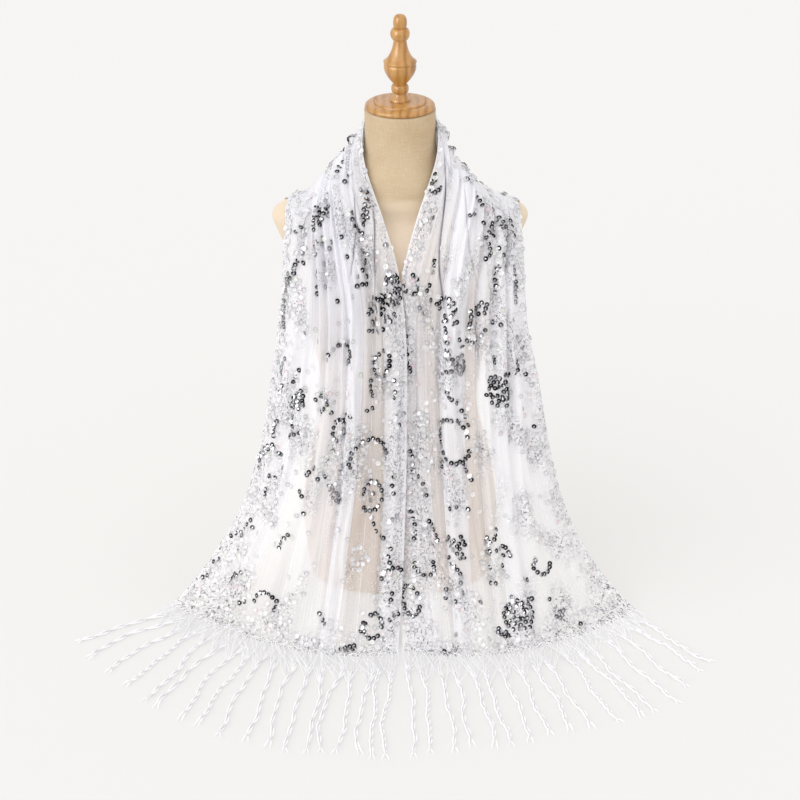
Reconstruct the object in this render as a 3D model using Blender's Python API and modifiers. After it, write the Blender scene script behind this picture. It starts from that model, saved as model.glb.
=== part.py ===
# Evening stole with fringed ends, hung round the neck of a limbless dress form.
# Metres, +Z up, front towards -Y. The origin is the middle of the form's flat base.

import math

import bmesh
import bpy
import numpy as np
from mathutils import Vector
from mathutils.bvhtree import BVHTree

OBJECT_NAME = "evening_stole"

# Walls and seats
CLOTH_WALL = 0.0012        # the sheer cloth
SEAT_GAP = 0.0003          # between turned pieces that touch
SEAM_GAP = 0.0004          # between two stretches of the one length of cloth
HEM_GAP = 0.0011           # from the inner side of the hem to the thread heading
REST_CLEARANCE = 0.0012    # from the form to the cloth's inner side where it rests on it
FLOOR_CLEARANCE = 0.0004   # under the hem and the fringe
MERGE_DISTANCE = 0.00001
SHARP_ANGLE = 40           # degrees, above which an edge is shaded sharp

# Dress form, an oval ring a row: height, half width, depth in front, depth behind, squareness
FORM_SIDES = 30
FORM_ROWS = (
    (0.000, 0.130, 0.080, 0.080, 2.2),   # flat base
    (0.005, 0.138, 0.088, 0.088, 2.2),
    (0.028, 0.143, 0.094, 0.094, 2.2),
    (0.110, 0.150, 0.105, 0.104, 2.2),   # hips
    (0.200, 0.139, 0.099, 0.097, 2.2),
    (0.290, 0.117, 0.086, 0.083, 2.2),   # waist
    (0.360, 0.122, 0.091, 0.086, 2.2),
    (0.425, 0.139, 0.106, 0.095, 2.2),
    (0.470, 0.149, 0.114, 0.101, 2.2),   # bust
    (0.520, 0.157, 0.104, 0.099, 2.3),
    (0.552, 0.168, 0.088, 0.090, 2.4),
    (0.578, 0.179, 0.071, 0.077, 2.5),
    (0.600, 0.186, 0.056, 0.064, 2.5),   # shoulder ends
    (0.613, 0.172, 0.054, 0.062, 2.3),
    (0.625, 0.145, 0.056, 0.062, 2.1),
    (0.643, 0.102, 0.056, 0.061, 2.0),
    (0.664, 0.073, 0.054, 0.058, 2.0),
    (0.688, 0.056, 0.051, 0.053, 2.0),   # root of the neck
    (0.715, 0.051, 0.050, 0.050, 2.0),
    (0.758, 0.051, 0.050, 0.050, 2.0),   # flat top of the neck
)

# Turned wood: half profiles as (radius, height above the piece's foot), from top to bottom
TURNED_STEPS = 22
CAP_PROFILE = (
    (0.0000, 0.0118),
    (0.0320, 0.0118),
    (0.0350, 0.0108),
    (0.0362, 0.0086),
    (0.0440, 0.0090),
    (0.0485, 0.0072),
    (0.0502, 0.0045),
    (0.0490, 0.0015),
    (0.0465, 0.0000),
    (0.0000, 0.0000),
)
FINIAL_PROFILE = (
    (0.0000, 0.1250),
    (0.0060, 0.1232),
    (0.0092, 0.1180),
    (0.0098, 0.1110),
    (0.0086, 0.1052),
    (0.0128, 0.1015),
    (0.0138, 0.0970),
    (0.0122, 0.0915),
    (0.0092, 0.0875),
    (0.0118, 0.0740),
    (0.0180, 0.0620),
    (0.0236, 0.0570),
    (0.0222, 0.0530),
    (0.0232, 0.0495),
    (0.0190, 0.0370),
    (0.0112, 0.0270),
    (0.0088, 0.0225),
    (0.0122, 0.0190),
    (0.0122, 0.0135),
    (0.0092, 0.0100),
    (0.0140, 0.0020),
    (0.0145, 0.0000),
    (0.0000, 0.0000),
)

# The stole, by stations along each half, from the nape (0) over the shoulder (2) to the hem.
# Each row has three points (x, y, z) across the cloth: inner edge, middle, outer edge.
# x counts away from the centre on both halves.
SHOULDER_STATION = 2
LEFT_STATIONS = (
    ((0.0000, 0.0580, 0.7420), (0.0000, 0.0960, 0.6360), (0.0000, 0.1160, 0.5050)),   # nape
    ((0.0440, 0.0370, 0.7420), (0.0980, 0.0780, 0.6520), (0.1490, 0.0730, 0.5600)),
    ((0.0570, 0.0000, 0.7320), (0.1040, 0.0000, 0.6820), (0.1630, 0.0020, 0.6220)),   # top of the shoulder
    ((0.0500, -0.0380, 0.6880), (0.1080, -0.0640, 0.6360), (0.1680, -0.0560, 0.5760)),
    ((0.0220, -0.0800, 0.6140), (0.1000, -0.1050, 0.5620), (0.1720, -0.0720, 0.5120)),
    ((0.0010, -0.1100, 0.5450), (0.0940, -0.1280, 0.4920), (0.1790, -0.0780, 0.4460)),   # end of neckline
    ((-0.0090, -0.1340, 0.4550), (0.0960, -0.1380, 0.4100), (0.1900, -0.0820, 0.3700)),
    ((-0.0100, -0.1450, 0.3500), (0.1020, -0.1480, 0.3150), (0.2040, -0.0860, 0.2850)),
    ((-0.0090, -0.1570, 0.2400), (0.1130, -0.1640, 0.2180), (0.2260, -0.0900, 0.2040)),
    ((-0.0060, -0.1750, 0.1380), (0.1280, -0.1820, 0.1300), (0.2560, -0.0950, 0.1320)),
    ((-0.0020, -0.2010, 0.0560), (0.1430, -0.2050, 0.0550), (0.2960, -0.1020, 0.0660)),
    ((0.0020, -0.2290, 0.0120), (0.1540, -0.2270, 0.0120), (0.3320, -0.1090, 0.0200)),
    ((0.0020, -0.2480, 0.0012), (0.1600, -0.2380, 0.0012), (0.3520, -0.1140, 0.0012)),   # hem
)
RIGHT_STATIONS = (
    ((0.0000, 0.0580, 0.7420), (0.0000, 0.0960, 0.6360), (0.0000, 0.1160, 0.5050)),   # nape
    ((0.0430, 0.0370, 0.7460), (0.1000, 0.0780, 0.6550), (0.1540, 0.0730, 0.5620)),
    ((0.0560, 0.0000, 0.7400), (0.1070, 0.0000, 0.6800), (0.1710, 0.0000, 0.6190)),   # top of the shoulder
    ((0.0510, -0.0360, 0.6940), (0.1120, -0.0640, 0.6380), (0.1780, -0.0560, 0.5760)),
    ((0.0230, -0.0790, 0.6180), (0.1040, -0.1050, 0.5620), (0.1810, -0.0700, 0.5120)),
    ((0.0030, -0.1060, 0.5450), (0.0980, -0.1280, 0.4900), (0.1880, -0.0780, 0.4460)),   # end of neckline
    ((-0.0060, -0.1190, 0.4550), (0.1020, -0.1380, 0.4080), (0.2040, -0.0820, 0.3700)),
    ((-0.0080, -0.1280, 0.3500), (0.1100, -0.1490, 0.3120), (0.2190, -0.0860, 0.2850)),
    ((-0.0080, -0.1390, 0.2400), (0.1220, -0.1650, 0.2160), (0.2370, -0.0900, 0.2040)),
    ((-0.0060, -0.1560, 0.1380), (0.1360, -0.1830, 0.1300), (0.2620, -0.0970, 0.1320)),
    ((-0.0020, -0.1850, 0.0560), (0.1520, -0.2080, 0.0550), (0.3000, -0.1070, 0.0660)),
    ((0.0030, -0.2210, 0.0120), (0.1660, -0.2330, 0.0120), (0.3400, -0.1200, 0.0200)),
    ((0.0030, -0.2400, 0.0012), (0.1730, -0.2460, 0.0012), (0.3620, -0.1300, 0.0012)),   # hem
)
HEM_STATION = len(LEFT_STATIONS) - 1

# Lengthwise pleats, from the inner edge to the outer edge: their share of the width and how far
# each stands out. At the nape they are all alike.
PLEAT_STEPS = 4            # faces across each pleat
CHEST_STATION = 5
NAPE_PLEAT_DEPTH = 0.005
PLEAT_COLUMNS = ("share_shoulder", "share_hem", "depth_shoulder", "depth_chest", "depth_hem")
LEFT_PLEATS = (
    (0.8, 1.2, 0.002, 0.004, 0.003),
    (1.1, 1.0, 0.004, 0.010, 0.004),
    (0.8, 0.7, 0.003, 0.007, 0.005),
    (0.8, 0.6, 0.004, 0.010, 0.006),
    (0.9, 0.8, 0.003, 0.006, 0.005),
    (1.1, 1.1, 0.005, 0.010, 0.004),
    (1.2, 1.3, 0.003, 0.006, 0.003),
    (1.3, 1.5, 0.004, 0.007, 0.004),
    (1.5, 1.6, 0.002, 0.004, 0.003),
)
RIGHT_PLEATS = (
    (0.9, 1.3, 0.002, 0.004, 0.003),
    (1.0, 1.2, 0.003, 0.007, 0.004),
    (1.2, 0.9, 0.005, 0.012, 0.006),
    (0.9, 0.8, 0.003, 0.007, 0.004),
    (1.0, 1.0, 0.004, 0.010, 0.005),
    (0.8, 0.9, 0.003, 0.006, 0.003),
    (1.2, 1.1, 0.004, 0.008, 0.005),
    (1.3, 1.4, 0.003, 0.006, 0.003),
    (1.4, 1.6, 0.002, 0.004, 0.003),
)

# Rows of faces along each stretch
NECK_ROWS = 18
FALL_ROWS = 27
FALL_CROWDING = 1.25       # above 1, a fall's rows lie closer together at the shoulder
REST_PASSES = 6            # how often the sheet is lifted off the form, corners then face centres

# Fringe: tassels fused to the thread heading that runs along the hem, lying spread on the floor
HEADING_WIDTH = 0.005
HEADING_THICKNESS = 0.0022
LEFT_TASSELS = 18
RIGHT_TASSELS = 17
TASSEL_STEPS = 6
TASSEL_ROOT_WIDTH = 0.0050
TASSEL_TIP_WIDTH = 0.0034
TASSEL_HEIGHT = 0.0034
TASSEL_BOW = 0.005         # most that a tassel bends off its straight line
TIP_SCATTER = 0.007        # most that a tip lies off the even curve of tips
FRINGE_SEED = 7
# Where the tassels end, as (x, y) at even shares of the hem from the centre to the corner
LEFT_TIPS = (
    (0.008, -0.512),
    (0.088, -0.509),
    (0.172, -0.497),
    (0.292, -0.436),
    (0.398, -0.345),
    (0.496, -0.212),
)
RIGHT_TIPS = (
    (0.014, -0.515),
    (0.094, -0.492),
    (0.190, -0.472),
    (0.296, -0.436),
    (0.396, -0.378),
    (0.468, -0.262),
)

# Colours as linear RGB, with roughness
LINEN = ((0.66, 0.56, 0.45), 0.9)
WOOD = ((0.60, 0.34, 0.13), 0.35)
STOLE = ((0.87, 0.87, 0.92), 0.6)
FRINGE = ((0.88, 0.88, 0.92), 0.7)


def clear_scene():
    for obj in list(bpy.data.objects):
        bpy.data.objects.remove(obj)


def make_material(name, look):
    colour, roughness = look
    material = bpy.data.materials.new(name)
    material.use_nodes = True
    shader = material.node_tree.nodes["Principled BSDF"]
    shader.inputs["Base Color"].default_value = (*colour, 1.0)
    shader.inputs["Roughness"].default_value = roughness
    shader.inputs["Metallic"].default_value = 0.0
    material.diffuse_color = (*colour, 1.0)
    return material


def add_object(name, mesh, material, collection):
    mesh.materials.append(material)
    obj = bpy.data.objects.new(name, mesh)
    collection.objects.link(obj)
    return obj


def mesh_from_bmesh(name, bm):
    bmesh.ops.recalc_face_normals(bm, faces=bm.faces)
    mesh = bpy.data.meshes.new(name)
    bm.to_mesh(mesh)
    bm.free()
    mesh.shade_smooth()
    mesh.set_sharp_from_angle(angle=math.radians(SHARP_ANGLE))
    return mesh


def smooth_rows(rows, stations):
    """Catmull-Rom curve through the rows of a table, read at the given row numbers."""
    rows = np.asarray(rows, float)
    stations = np.asarray(stations, float)
    last = len(rows) - 1
    start = np.clip(np.floor(stations).astype(int), 0, last - 1)
    share = (stations - start).reshape(-1, *[1] * (rows.ndim - 1))
    before = rows[np.clip(start - 1, 0, last)]
    here = rows[start]
    ahead = rows[start + 1]
    beyond = rows[np.clip(start + 2, 0, last)]
    return 0.5 * (
        2 * here
        + (ahead - before) * share
        + (2 * before - 5 * here + 4 * ahead - beyond) * share**2
        + (3 * here - before - 3 * ahead + beyond) * share**3
    )


def loft(bm, rings):
    """Quads between successive closed rings of vertices. Returns the faces of each step."""
    steps = []
    for ring, following in zip(rings[:-1], rings[1:]):
        faces = []
        for i in range(len(ring)):
            j = (i + 1) % len(ring)
            faces.append(bm.faces.new((ring[i], ring[j], following[j], following[i])))
        steps.append(faces)
    return steps


def add_ring(bm, points):
    return [bm.verts.new(point) for point in points]


def form_ring(height, half_width, front, back, squareness):
    """A closed oval, rounder or squarer, whose front and back halves have their own depths."""
    points = []
    for i in range(FORM_SIDES):
        angle = 2 * math.pi * i / FORM_SIDES
        across = math.copysign(abs(math.cos(angle)) ** (2 / squareness), math.cos(angle))
        along = math.copysign(abs(math.sin(angle)) ** (2 / squareness), math.sin(angle))
        depth = back if along > 0 else front
        points.append((half_width * across, depth * along, height))
    return points


def make_form_torso(material, collection):
    bm = bmesh.new()
    rings = [add_ring(bm, form_ring(*row)) for row in FORM_ROWS]
    loft(bm, rings)
    bm.faces.new(reversed(rings[0]))
    bm.faces.new(rings[-1])
    return add_object("form_torso", mesh_from_bmesh("form_torso", bm), material, collection)


def make_turned(name, profile, foot_height, material, collection):
    mesh = bpy.data.meshes.new(name)
    points = [(radius, 0.0, height) for radius, height in profile]
    edges = [(i, i + 1) for i in range(len(points) - 1)]
    mesh.from_pydata(points, edges, [])
    turned = add_object(name, mesh, material, collection)
    turned.location.z = foot_height
    screw = turned.modifiers.new("Screw", "SCREW")
    screw.steps = TURNED_STEPS
    screw.render_steps = TURNED_STEPS
    screw.use_merge_vertices = True
    screw.merge_threshold = MERGE_DISTANCE
    screw.use_smooth_shade = True
    return turned


def stole_rows():
    """The two station tables joined end to end: left hem, nape, right hem."""
    left = np.array(LEFT_STATIONS)
    right = np.array(RIGHT_STATIONS)
    left[..., 0] *= -1
    return np.concatenate([left[::-1], right[1:]])


def pleat_layout(station):
    """Borders across the width (0 to 1) and depths of the pleats at one signed station."""
    table = np.array(LEFT_PLEATS if station < 0 else RIGHT_PLEATS).T
    pleats = dict(zip(PLEAT_COLUMNS, table))
    keys = (0, SHOULDER_STATION, CHEST_STATION, HEM_STATION)
    even = np.ones(table.shape[1])
    shoulder = pleats["share_shoulder"]
    shares = (even, shoulder, shoulder, pleats["share_hem"])
    depths = (
        even * NAPE_PLEAT_DEPTH,
        pleats["depth_shoulder"],
        pleats["depth_chest"],
        pleats["depth_hem"],
    )
    share = np.array([np.interp(abs(station), keys, column) for column in zip(*shares)])
    depth = np.array([np.interp(abs(station), keys, column) for column in zip(*depths)])
    borders = np.concatenate([[0.0], np.cumsum(share)]) / share.sum()
    return borders, depth


def across_width(borders):
    """Where the grid's lines lie across the width, and how far up its pleat each one is."""
    inside = np.arange(PLEAT_STEPS) / PLEAT_STEPS
    widths = np.diff(borders)[:, None]
    places = np.append((borders[:-1, None] + widths * inside).ravel(), 1.0)
    rise = np.append(np.tile(0.5 - 0.5 * np.cos(2 * math.pi * inside), len(widths)), 0.0)
    return places, rise


def sheet_points(station, places):
    """Points across the unpleated cloth at one signed station."""
    inner, middle, outer = smooth_rows(stole_rows(), [station + HEM_STATION])[0]
    u = places[:, None]
    return inner * (1 - u) * (1 - 2 * u) + middle * 4 * u * (1 - u) + outer * u * (2 * u - 1)


def pleated_points(station):
    """Points across the cloth at one signed station, with each pleat raised off the sheet."""
    borders, depth = pleat_layout(station)
    places, rise = across_width(borders)
    step = 0.02   # share of a station and of the width over which the sheet's slope is read
    here = sheet_points(station, places)
    along = sheet_points(station + step, places) - sheet_points(station - step, places)
    across = sheet_points(station, places + step) - sheet_points(station, places - step)
    outward = np.cross(along, across)
    outward /= np.linalg.norm(outward, axis=1)[:, None]
    pleat = np.minimum(np.arange(len(places)) // PLEAT_STEPS, len(depth) - 1)
    return here + outward * (depth[pleat] * rise)[:, None]


def stole_grid(form_tree):
    """Points of the whole stole's inner side, a row a station, from the left hem to the right."""
    share = np.linspace(0, 1, FALL_ROWS + 1) ** FALL_CROWDING
    fall = SHOULDER_STATION + (HEM_STATION - SHOULDER_STATION) * share
    neck = np.linspace(-SHOULDER_STATION, SHOULDER_STATION, NECK_ROWS + 1)
    stations = np.concatenate([-fall[:0:-1], neck, fall[1:]])
    grid = np.array([pleated_points(station) for station in stations])
    for _ in range(REST_PASSES):
        grid += lift_off(grid, form_tree)
        centres = (grid[:-1, :-1] + grid[1:, :-1] + grid[:-1, 1:] + grid[1:, 1:]) / 4
        lift = lift_off(centres, form_tree)
        for corner in (grid[:-1, :-1], grid[1:, :-1], grid[:-1, 1:], grid[1:, 1:]):
            corner += lift / 4
    grid[..., 2] = np.maximum(grid[..., 2], FLOOR_CLEARANCE)
    return grid


def lift_off(points, form_tree):
    """The moves that bring each point out to the clearance at which cloth rests on the form."""
    lifts = np.zeros_like(points)
    for place in np.ndindex(points.shape[:-1]):
        point = Vector(points[place])
        nearest, normal, _, _ = form_tree.find_nearest(point)
        short = REST_CLEARANCE - (point - nearest).dot(normal)
        if short > 0:
            lifts[place] = normal * short
    return lifts


def make_cloth(name, rows, trim_start, trim_end, material, collection):
    """A wall over rows of points. A trimmed end stops half a seam gap short."""
    rows = rows.copy()
    if trim_start:
        rows[0] = step_towards(rows[0], rows[1], SEAM_GAP / 2)
    if trim_end:
        rows[-1] = step_towards(rows[-1], rows[-2], SEAM_GAP / 2)
    count = rows.shape[1]
    faces = []
    for i in range(len(rows) - 1):
        for j in range(count - 1):
            corner = i * count + j
            faces.append((corner, corner + count, corner + count + 1, corner + 1))
    mesh = bpy.data.meshes.new(name)
    mesh.from_pydata(rows.reshape(-1, 3).tolist(), [], faces)
    mesh.shade_smooth()
    cloth = add_object(name, mesh, material, collection)
    wall = cloth.modifiers.new("Wall", "SOLIDIFY")
    wall.thickness = CLOTH_WALL
    wall.offset = 1.0


def step_towards(points, others, distance):
    way = others - points
    return points + way / np.linalg.norm(way, axis=1)[:, None] * distance


def curve_shares(curve):
    """How far along a curve each of its points lies, from 0 to 1, and the curve's length."""
    lengths = np.concatenate([[0], np.cumsum(np.linalg.norm(np.diff(curve, axis=0), axis=1))])
    return lengths / lengths[-1], lengths[-1]


def along_curve(curve, shares):
    known, _ = curve_shares(curve)
    return np.stack([np.interp(shares, known, curve[:, k]) for k in range(2)], axis=1)


def outward_in_plan(curve, shares):
    """Unit directions square to the curve's general run, away from the form."""
    reach = 0.05   # share of the curve on each side that counts as its general run
    way = along_curve(curve, shares + reach) - along_curve(curve, shares - reach)
    square = np.stack([way[:, 1], -way[:, 0]], axis=1)
    square *= np.sign(np.sum(square * along_curve(curve, shares), axis=1))[:, None]
    return square / np.linalg.norm(square, axis=1)[:, None]


def box_ring(centre, across, width, height):
    """Four corners of a strand's section: low left, low right, high right, high left."""
    across = across * width / 2
    low = FLOOR_CLEARANCE
    return [
        (*(centre - across), low),
        (*(centre + across), low),
        (*(centre + across), low + height),
        (*(centre - across), low + height),
    ]


def tassel_rings(root, across, tip, bow):
    """Sections of a tassel from just off its root to its tip, along a gently bowed line."""
    line = tip - root
    aside = np.array([-line[1], line[0]]) / np.linalg.norm(line)
    if np.dot(aside, across) < 0:
        aside = -aside
    rings = []
    for share in np.arange(1, TASSEL_STEPS + 1) / TASSEL_STEPS:
        centre = root + line * share + aside * bow * math.sin(math.pi * share)
        width = TASSEL_ROOT_WIDTH + (TASSEL_TIP_WIDTH - TASSEL_ROOT_WIDTH) * share
        blend = min(1.0, share * 2)
        facing = across * (1 - blend) + aside * blend
        rings.append(box_ring(centre, facing / np.linalg.norm(facing), width, TASSEL_HEIGHT))
    return rings


def make_fringe(name, hem, tips, count, material, collection):
    """A thread heading along the hem, with tassels lofted from its outer face."""
    random = np.random.default_rng(FRINGE_SEED + count)
    curve = hem[:, :2]
    corners, length = curve_shares(curve)
    half_root = TASSEL_ROOT_WIDTH / 2 / length
    middles = (np.arange(count) + 0.5) / count
    clear_of_roots = half_root * 1.5
    between = np.abs(corners[:, None] - middles).min(axis=1) > clear_of_roots
    shares = np.sort(np.concatenate([corners[between], middles - half_root, middles + half_root]))
    outward = outward_in_plan(curve, shares)
    start = along_curve(curve, shares) + outward * HEM_GAP
    end = start + outward * HEADING_WIDTH
    bm = bmesh.new()
    low, high = FLOOR_CLEARANCE, FLOOR_CLEARANCE + HEADING_THICKNESS
    rings = []
    for near, far in zip(start, end):
        rings.append(add_ring(bm, [(*near, low), (*far, low), (*far, high), (*near, high)]))
    heading = loft(bm, rings)
    bm.faces.new(rings[0])
    bm.faces.new(rings[-1])
    for middle in middles:
        near = np.searchsorted(shares, middle) - 1
        outer_face = heading[near][1]
        first, second = rings[near], rings[near + 1]
        root_ring = [first[1], second[1], second[2], first[2]]
        bm.faces.remove(outer_face)
        root = (end[near] + end[near + 1]) / 2
        across = end[near + 1] - end[near]
        tip = smooth_rows(tips, [middle * (len(tips) - 1)])[0]
        tip += random.uniform(-TIP_SCATTER, TIP_SCATTER, 2)
        bow = random.uniform(-TASSEL_BOW, TASSEL_BOW)
        sections = tassel_rings(root, across / np.linalg.norm(across), tip, bow)
        strand = [root_ring] + [add_ring(bm, section) for section in sections]
        loft(bm, strand)
        bm.faces.new(strand[-1])
    add_object(name, mesh_from_bmesh(name, bm), material, collection)


def build():
    clear_scene()
    collection = bpy.data.collections.new(OBJECT_NAME)
    bpy.context.scene.collection.children.link(collection)
    linen = make_material("linen", LINEN)
    torso = make_form_torso(linen, collection)

    neck_top = FORM_ROWS[-1][0]
    cap_foot = neck_top + SEAT_GAP
    finial_foot = cap_foot + CAP_PROFILE[0][1] + SEAT_GAP
    make_turned("neck_cap", CAP_PROFILE, cap_foot, make_material("cap_wood", WOOD), collection)
    make_turned("finial", FINIAL_PROFILE, finial_foot, make_material("finial_wood", WOOD), collection)

    bpy.context.view_layer.update()
    form_tree = BVHTree.FromObject(torso, bpy.context.evaluated_depsgraph_get())
    grid = stole_grid(form_tree)
    left_rows = grid[: FALL_ROWS + 1]
    neck_rows = grid[FALL_ROWS : FALL_ROWS + NECK_ROWS + 1]
    right_rows = grid[FALL_ROWS + NECK_ROWS :]
    for name, rows, trim_start, trim_end in (
        ("stole_fall_left", left_rows, False, True),
        ("stole_neck", neck_rows, True, True),
        ("stole_fall_right", right_rows, True, False),
    ):
        cloth = make_material(name + "_cloth", STOLE)
        make_cloth(name, rows, trim_start, trim_end, cloth, collection)
    for name, hem, tips, count in (
        ("fringe_left", grid[0], np.array(LEFT_TIPS) * (-1, 1), LEFT_TASSELS),
        ("fringe_right", grid[-1], np.array(RIGHT_TIPS), RIGHT_TASSELS),
    ):
        yarn = make_material(name + "_yarn", FRINGE)
        make_fringe(name, hem, tips, count, yarn, collection)


build()
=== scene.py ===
# Evening stole of sheer white mesh with cup sequins and a twisted fringe at both ends, hung round
# the neck of a limbless dress form. Metres, +Z up, front towards -Y.
import math

import bpy
import numpy as np
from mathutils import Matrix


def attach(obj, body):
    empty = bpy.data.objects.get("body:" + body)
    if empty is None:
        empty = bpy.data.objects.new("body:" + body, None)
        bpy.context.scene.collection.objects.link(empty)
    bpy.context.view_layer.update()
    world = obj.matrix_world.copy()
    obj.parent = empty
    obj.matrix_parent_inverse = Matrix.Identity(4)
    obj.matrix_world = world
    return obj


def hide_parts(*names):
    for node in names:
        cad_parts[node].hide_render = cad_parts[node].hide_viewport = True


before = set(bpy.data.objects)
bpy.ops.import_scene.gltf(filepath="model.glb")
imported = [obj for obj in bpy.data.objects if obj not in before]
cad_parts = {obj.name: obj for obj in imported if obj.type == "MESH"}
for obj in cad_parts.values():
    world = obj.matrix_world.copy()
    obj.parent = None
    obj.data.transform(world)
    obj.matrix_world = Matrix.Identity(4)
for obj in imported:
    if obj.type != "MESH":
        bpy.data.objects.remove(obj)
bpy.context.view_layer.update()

floorGap = 0.0004        # under everything that lies on the floor


def gridFaces(rows, columns, closed=False):
    # Four corners for each cell of a grid. A closed grid joins its last column to its first.
    row, column = np.mgrid[0:rows - 1, 0:columns if closed else columns - 1]
    following = (column + 1) % columns
    corners = (row * columns + column, (row + 1) * columns + column,
               (row + 1) * columns + following, row * columns + following)
    return np.stack(corners, axis=-1).reshape(-1, 4)


def repeatedFaces(faces, points, copies):
    # The same faces for each copy, with the copies' points one after another.
    return (faces[None] + np.arange(copies)[:, None, None] * points).reshape(-1, faces.shape[1])


def addObject(name, data):
    # A new object in the scene with the given mesh, camera or lamp.
    made = bpy.data.objects.new(name, data)
    bpy.context.scene.collection.objects.link(made)
    return made


def putPiece(name, points, faces, material, caps=None, uv=None, values=None, normals=None):
    # Faces have four corners and caps three. uv and values hold one entry for each point.
    corner = np.concatenate([faces.ravel(), [] if caps is None else caps.ravel()]).astype(np.int32)
    sizes = np.full(len(faces) + (0 if caps is None else len(caps)), 4, np.int32)
    sizes[len(faces):] = 3
    mesh = bpy.data.meshes.new(name)
    mesh.vertices.add(len(points))
    mesh.vertices.foreach_set("co", points.astype(np.float32).ravel())
    mesh.loops.add(len(corner))
    mesh.loops.foreach_set("vertex_index", corner)
    mesh.polygons.add(len(sizes))
    mesh.polygons.foreach_set("loop_start", (np.cumsum(sizes) - sizes).astype(np.int32))
    mesh.update(calc_edges=True)
    mesh.shade_smooth()
    if uv is not None:
        layer = mesh.uv_layers.new(name="clothMap")
        layer.data.foreach_set("uv", uv[corner].astype(np.float32).ravel())
    for key, value in (values or {}).items():
        attribute = mesh.attributes.new(key, "FLOAT", "POINT")
        attribute.data.foreach_set("value", value.astype(np.float32).ravel())
    if normals is not None:
        mesh.normals_split_custom_set_from_vertices(normals.reshape(-1, 3).tolist())
    mesh.materials.append(material)
    piece = addObject(name, mesh)
    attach(piece, "root")
    print(f"{name}: {len(points)} points, {len(sizes)} faces")
    return piece


def smoothRows(rows, places):
    # Catmull-Rom curve through the rows of a table, read at fractional row numbers.
    rows, places = np.asarray(rows, float), np.asarray(places, float)
    last = len(rows) - 1
    start = np.clip(places.astype(int), 0, last - 1)
    share = (places - start).reshape(-1, *[1] * (rows.ndim - 1))
    before, here = rows[np.clip(start - 1, 0, last)], rows[start]
    ahead, beyond = rows[start + 1], rows[np.clip(start + 2, 0, last)]
    return 0.5 * (2 * here + (ahead - before) * share
                  + (2 * before - 5 * here + 4 * ahead - beyond) * share**2
                  + (3 * here - before - 3 * ahead + beyond) * share**3)


def unit(vectors):
    # Each vector divided by its length.
    return vectors / np.maximum(np.linalg.norm(vectors, axis=-1, keepdims=True), 1e-12)


def gridNormals(grid):
    # The cross product of a grid's steps down and across, made unit length.
    return unit(np.cross(np.gradient(grid, axis=0), np.gradient(grid, axis=1)))


def runningLength(path):
    # Distance along a path at each of its points, from 0.
    return np.concatenate([[0], np.cumsum(np.linalg.norm(np.diff(path, axis=0), axis=1))])


def easeIn(x, start, end):
    # 0 before start, 1 after end, and 3t^2 - 2t^3 between them.
    t = np.clip((x - start) / (end - start), 0, 1)
    return t * t * (3 - 2 * t)


def tubes(paths, radii, sides):
    # Round tubes along many paths at once: at each point a ring, path + radius (first cos + second sin),
    # where first is the upward direction made square to the path, and second is square to both.
    way = unit(np.gradient(paths, axis=1))
    up = np.zeros_like(way)
    up[..., 2] = 1
    first = unit(up - way * np.sum(up * way, axis=-1, keepdims=True))
    second = np.cross(first, way)
    turn = 2 * np.pi * np.arange(sides) / sides
    ring = first[:, :, None] * np.cos(turn)[:, None] + second[:, :, None] * np.sin(turn)[:, None]
    points = paths[:, :, None] + ring * radii[:, :, None, None]
    count, steps = paths.shape[:2]
    faces = repeatedFaces(gridFaces(steps, sides, closed=True), steps * sides, count)
    return points.reshape(-1, 3), faces


def linear(hexCode):
    # sRGB to linear light: c / 12.92 below 0.04045, else ((c + 0.055) / 1.055) to the power 2.4.
    c = np.array([int(hexCode[i:i + 2], 16) for i in (0, 2, 4)]) / 255
    return (*np.where(c <= 0.04045, c / 12.92, ((c + 0.055) / 1.055) ** 2.4).tolist(), 1.0)


def socketValue(value):
    # A hex colour as linear light, any other value as it is.
    return linear(value) if isinstance(value, str) else value


def link(tree, source, output, target, socket):
    # Joins one node's output to a socket of another.
    tree.links.new(source.outputs[output], target.inputs[socket])


def node(tree, kind, inputs=None, stops=(), **settings):
    # One shader node with its settings. An input is a value, a hex colour, or another node and the name of
    # its output. A colour ramp has stops, each a place and a colour.
    made = tree.nodes.new("ShaderNode" + kind)
    for key, value in settings.items():
        setattr(made, key, value)
    for key, value in (inputs or {}).items():
        if isinstance(value, tuple) and isinstance(value[0], bpy.types.Node):
            link(tree, *value, made, key)
        else:
            made.inputs[key].default_value = socketValue(value)
    if stops:
        for place, colour in stops[2:]:
            made.color_ramp.elements.new(place)
        for element, (place, colour) in zip(made.color_ramp.elements, stops):
            element.position = place
            element.color = linear(colour)
    return made


def newMaterial(name, values):
    # A Principled shader with constant values set on its sockets.
    material = bpy.data.materials.new(name)
    material.use_nodes = True
    shader = material.node_tree.nodes["Principled BSDF"]
    for key, value in values.items():
        shader.inputs[key].default_value = socketValue(value)
    return material, material.node_tree, shader


# Plain woven linen, unbleached and stretched over a padded shell: matt, with slubs along both threads
linenLook = {
    "threadPitch": 0.0016,     # real thread is taken as 0.7 mm; drawn coarser so that it shows
    "neckPale": "D0BA9A",      # the neck is cloudy, between these two
    "neckDeep": "BFA480",
    "neckSeam": 0.639,
    "underNeck": "E4CFB2",     # at the seam, going to the chest's colour down to paleTop
    "paleTop": 0.585,
    "paintedLightChest": "FBE8D2",         # painted light: paler where the stole shades the chest
    "chestStart": (0.50, 0.56),
    "torsoPale": "E4CFBC",
    "torsoDeep": "D6BEA8",
    "shoulderEnd": "E4D2BA",
    "endStart": (0.11, 0.16),  # distance from the middle plane
    "slub": "E4D8C6",
    "slubStart": (0.95, 1.35),
}


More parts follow.
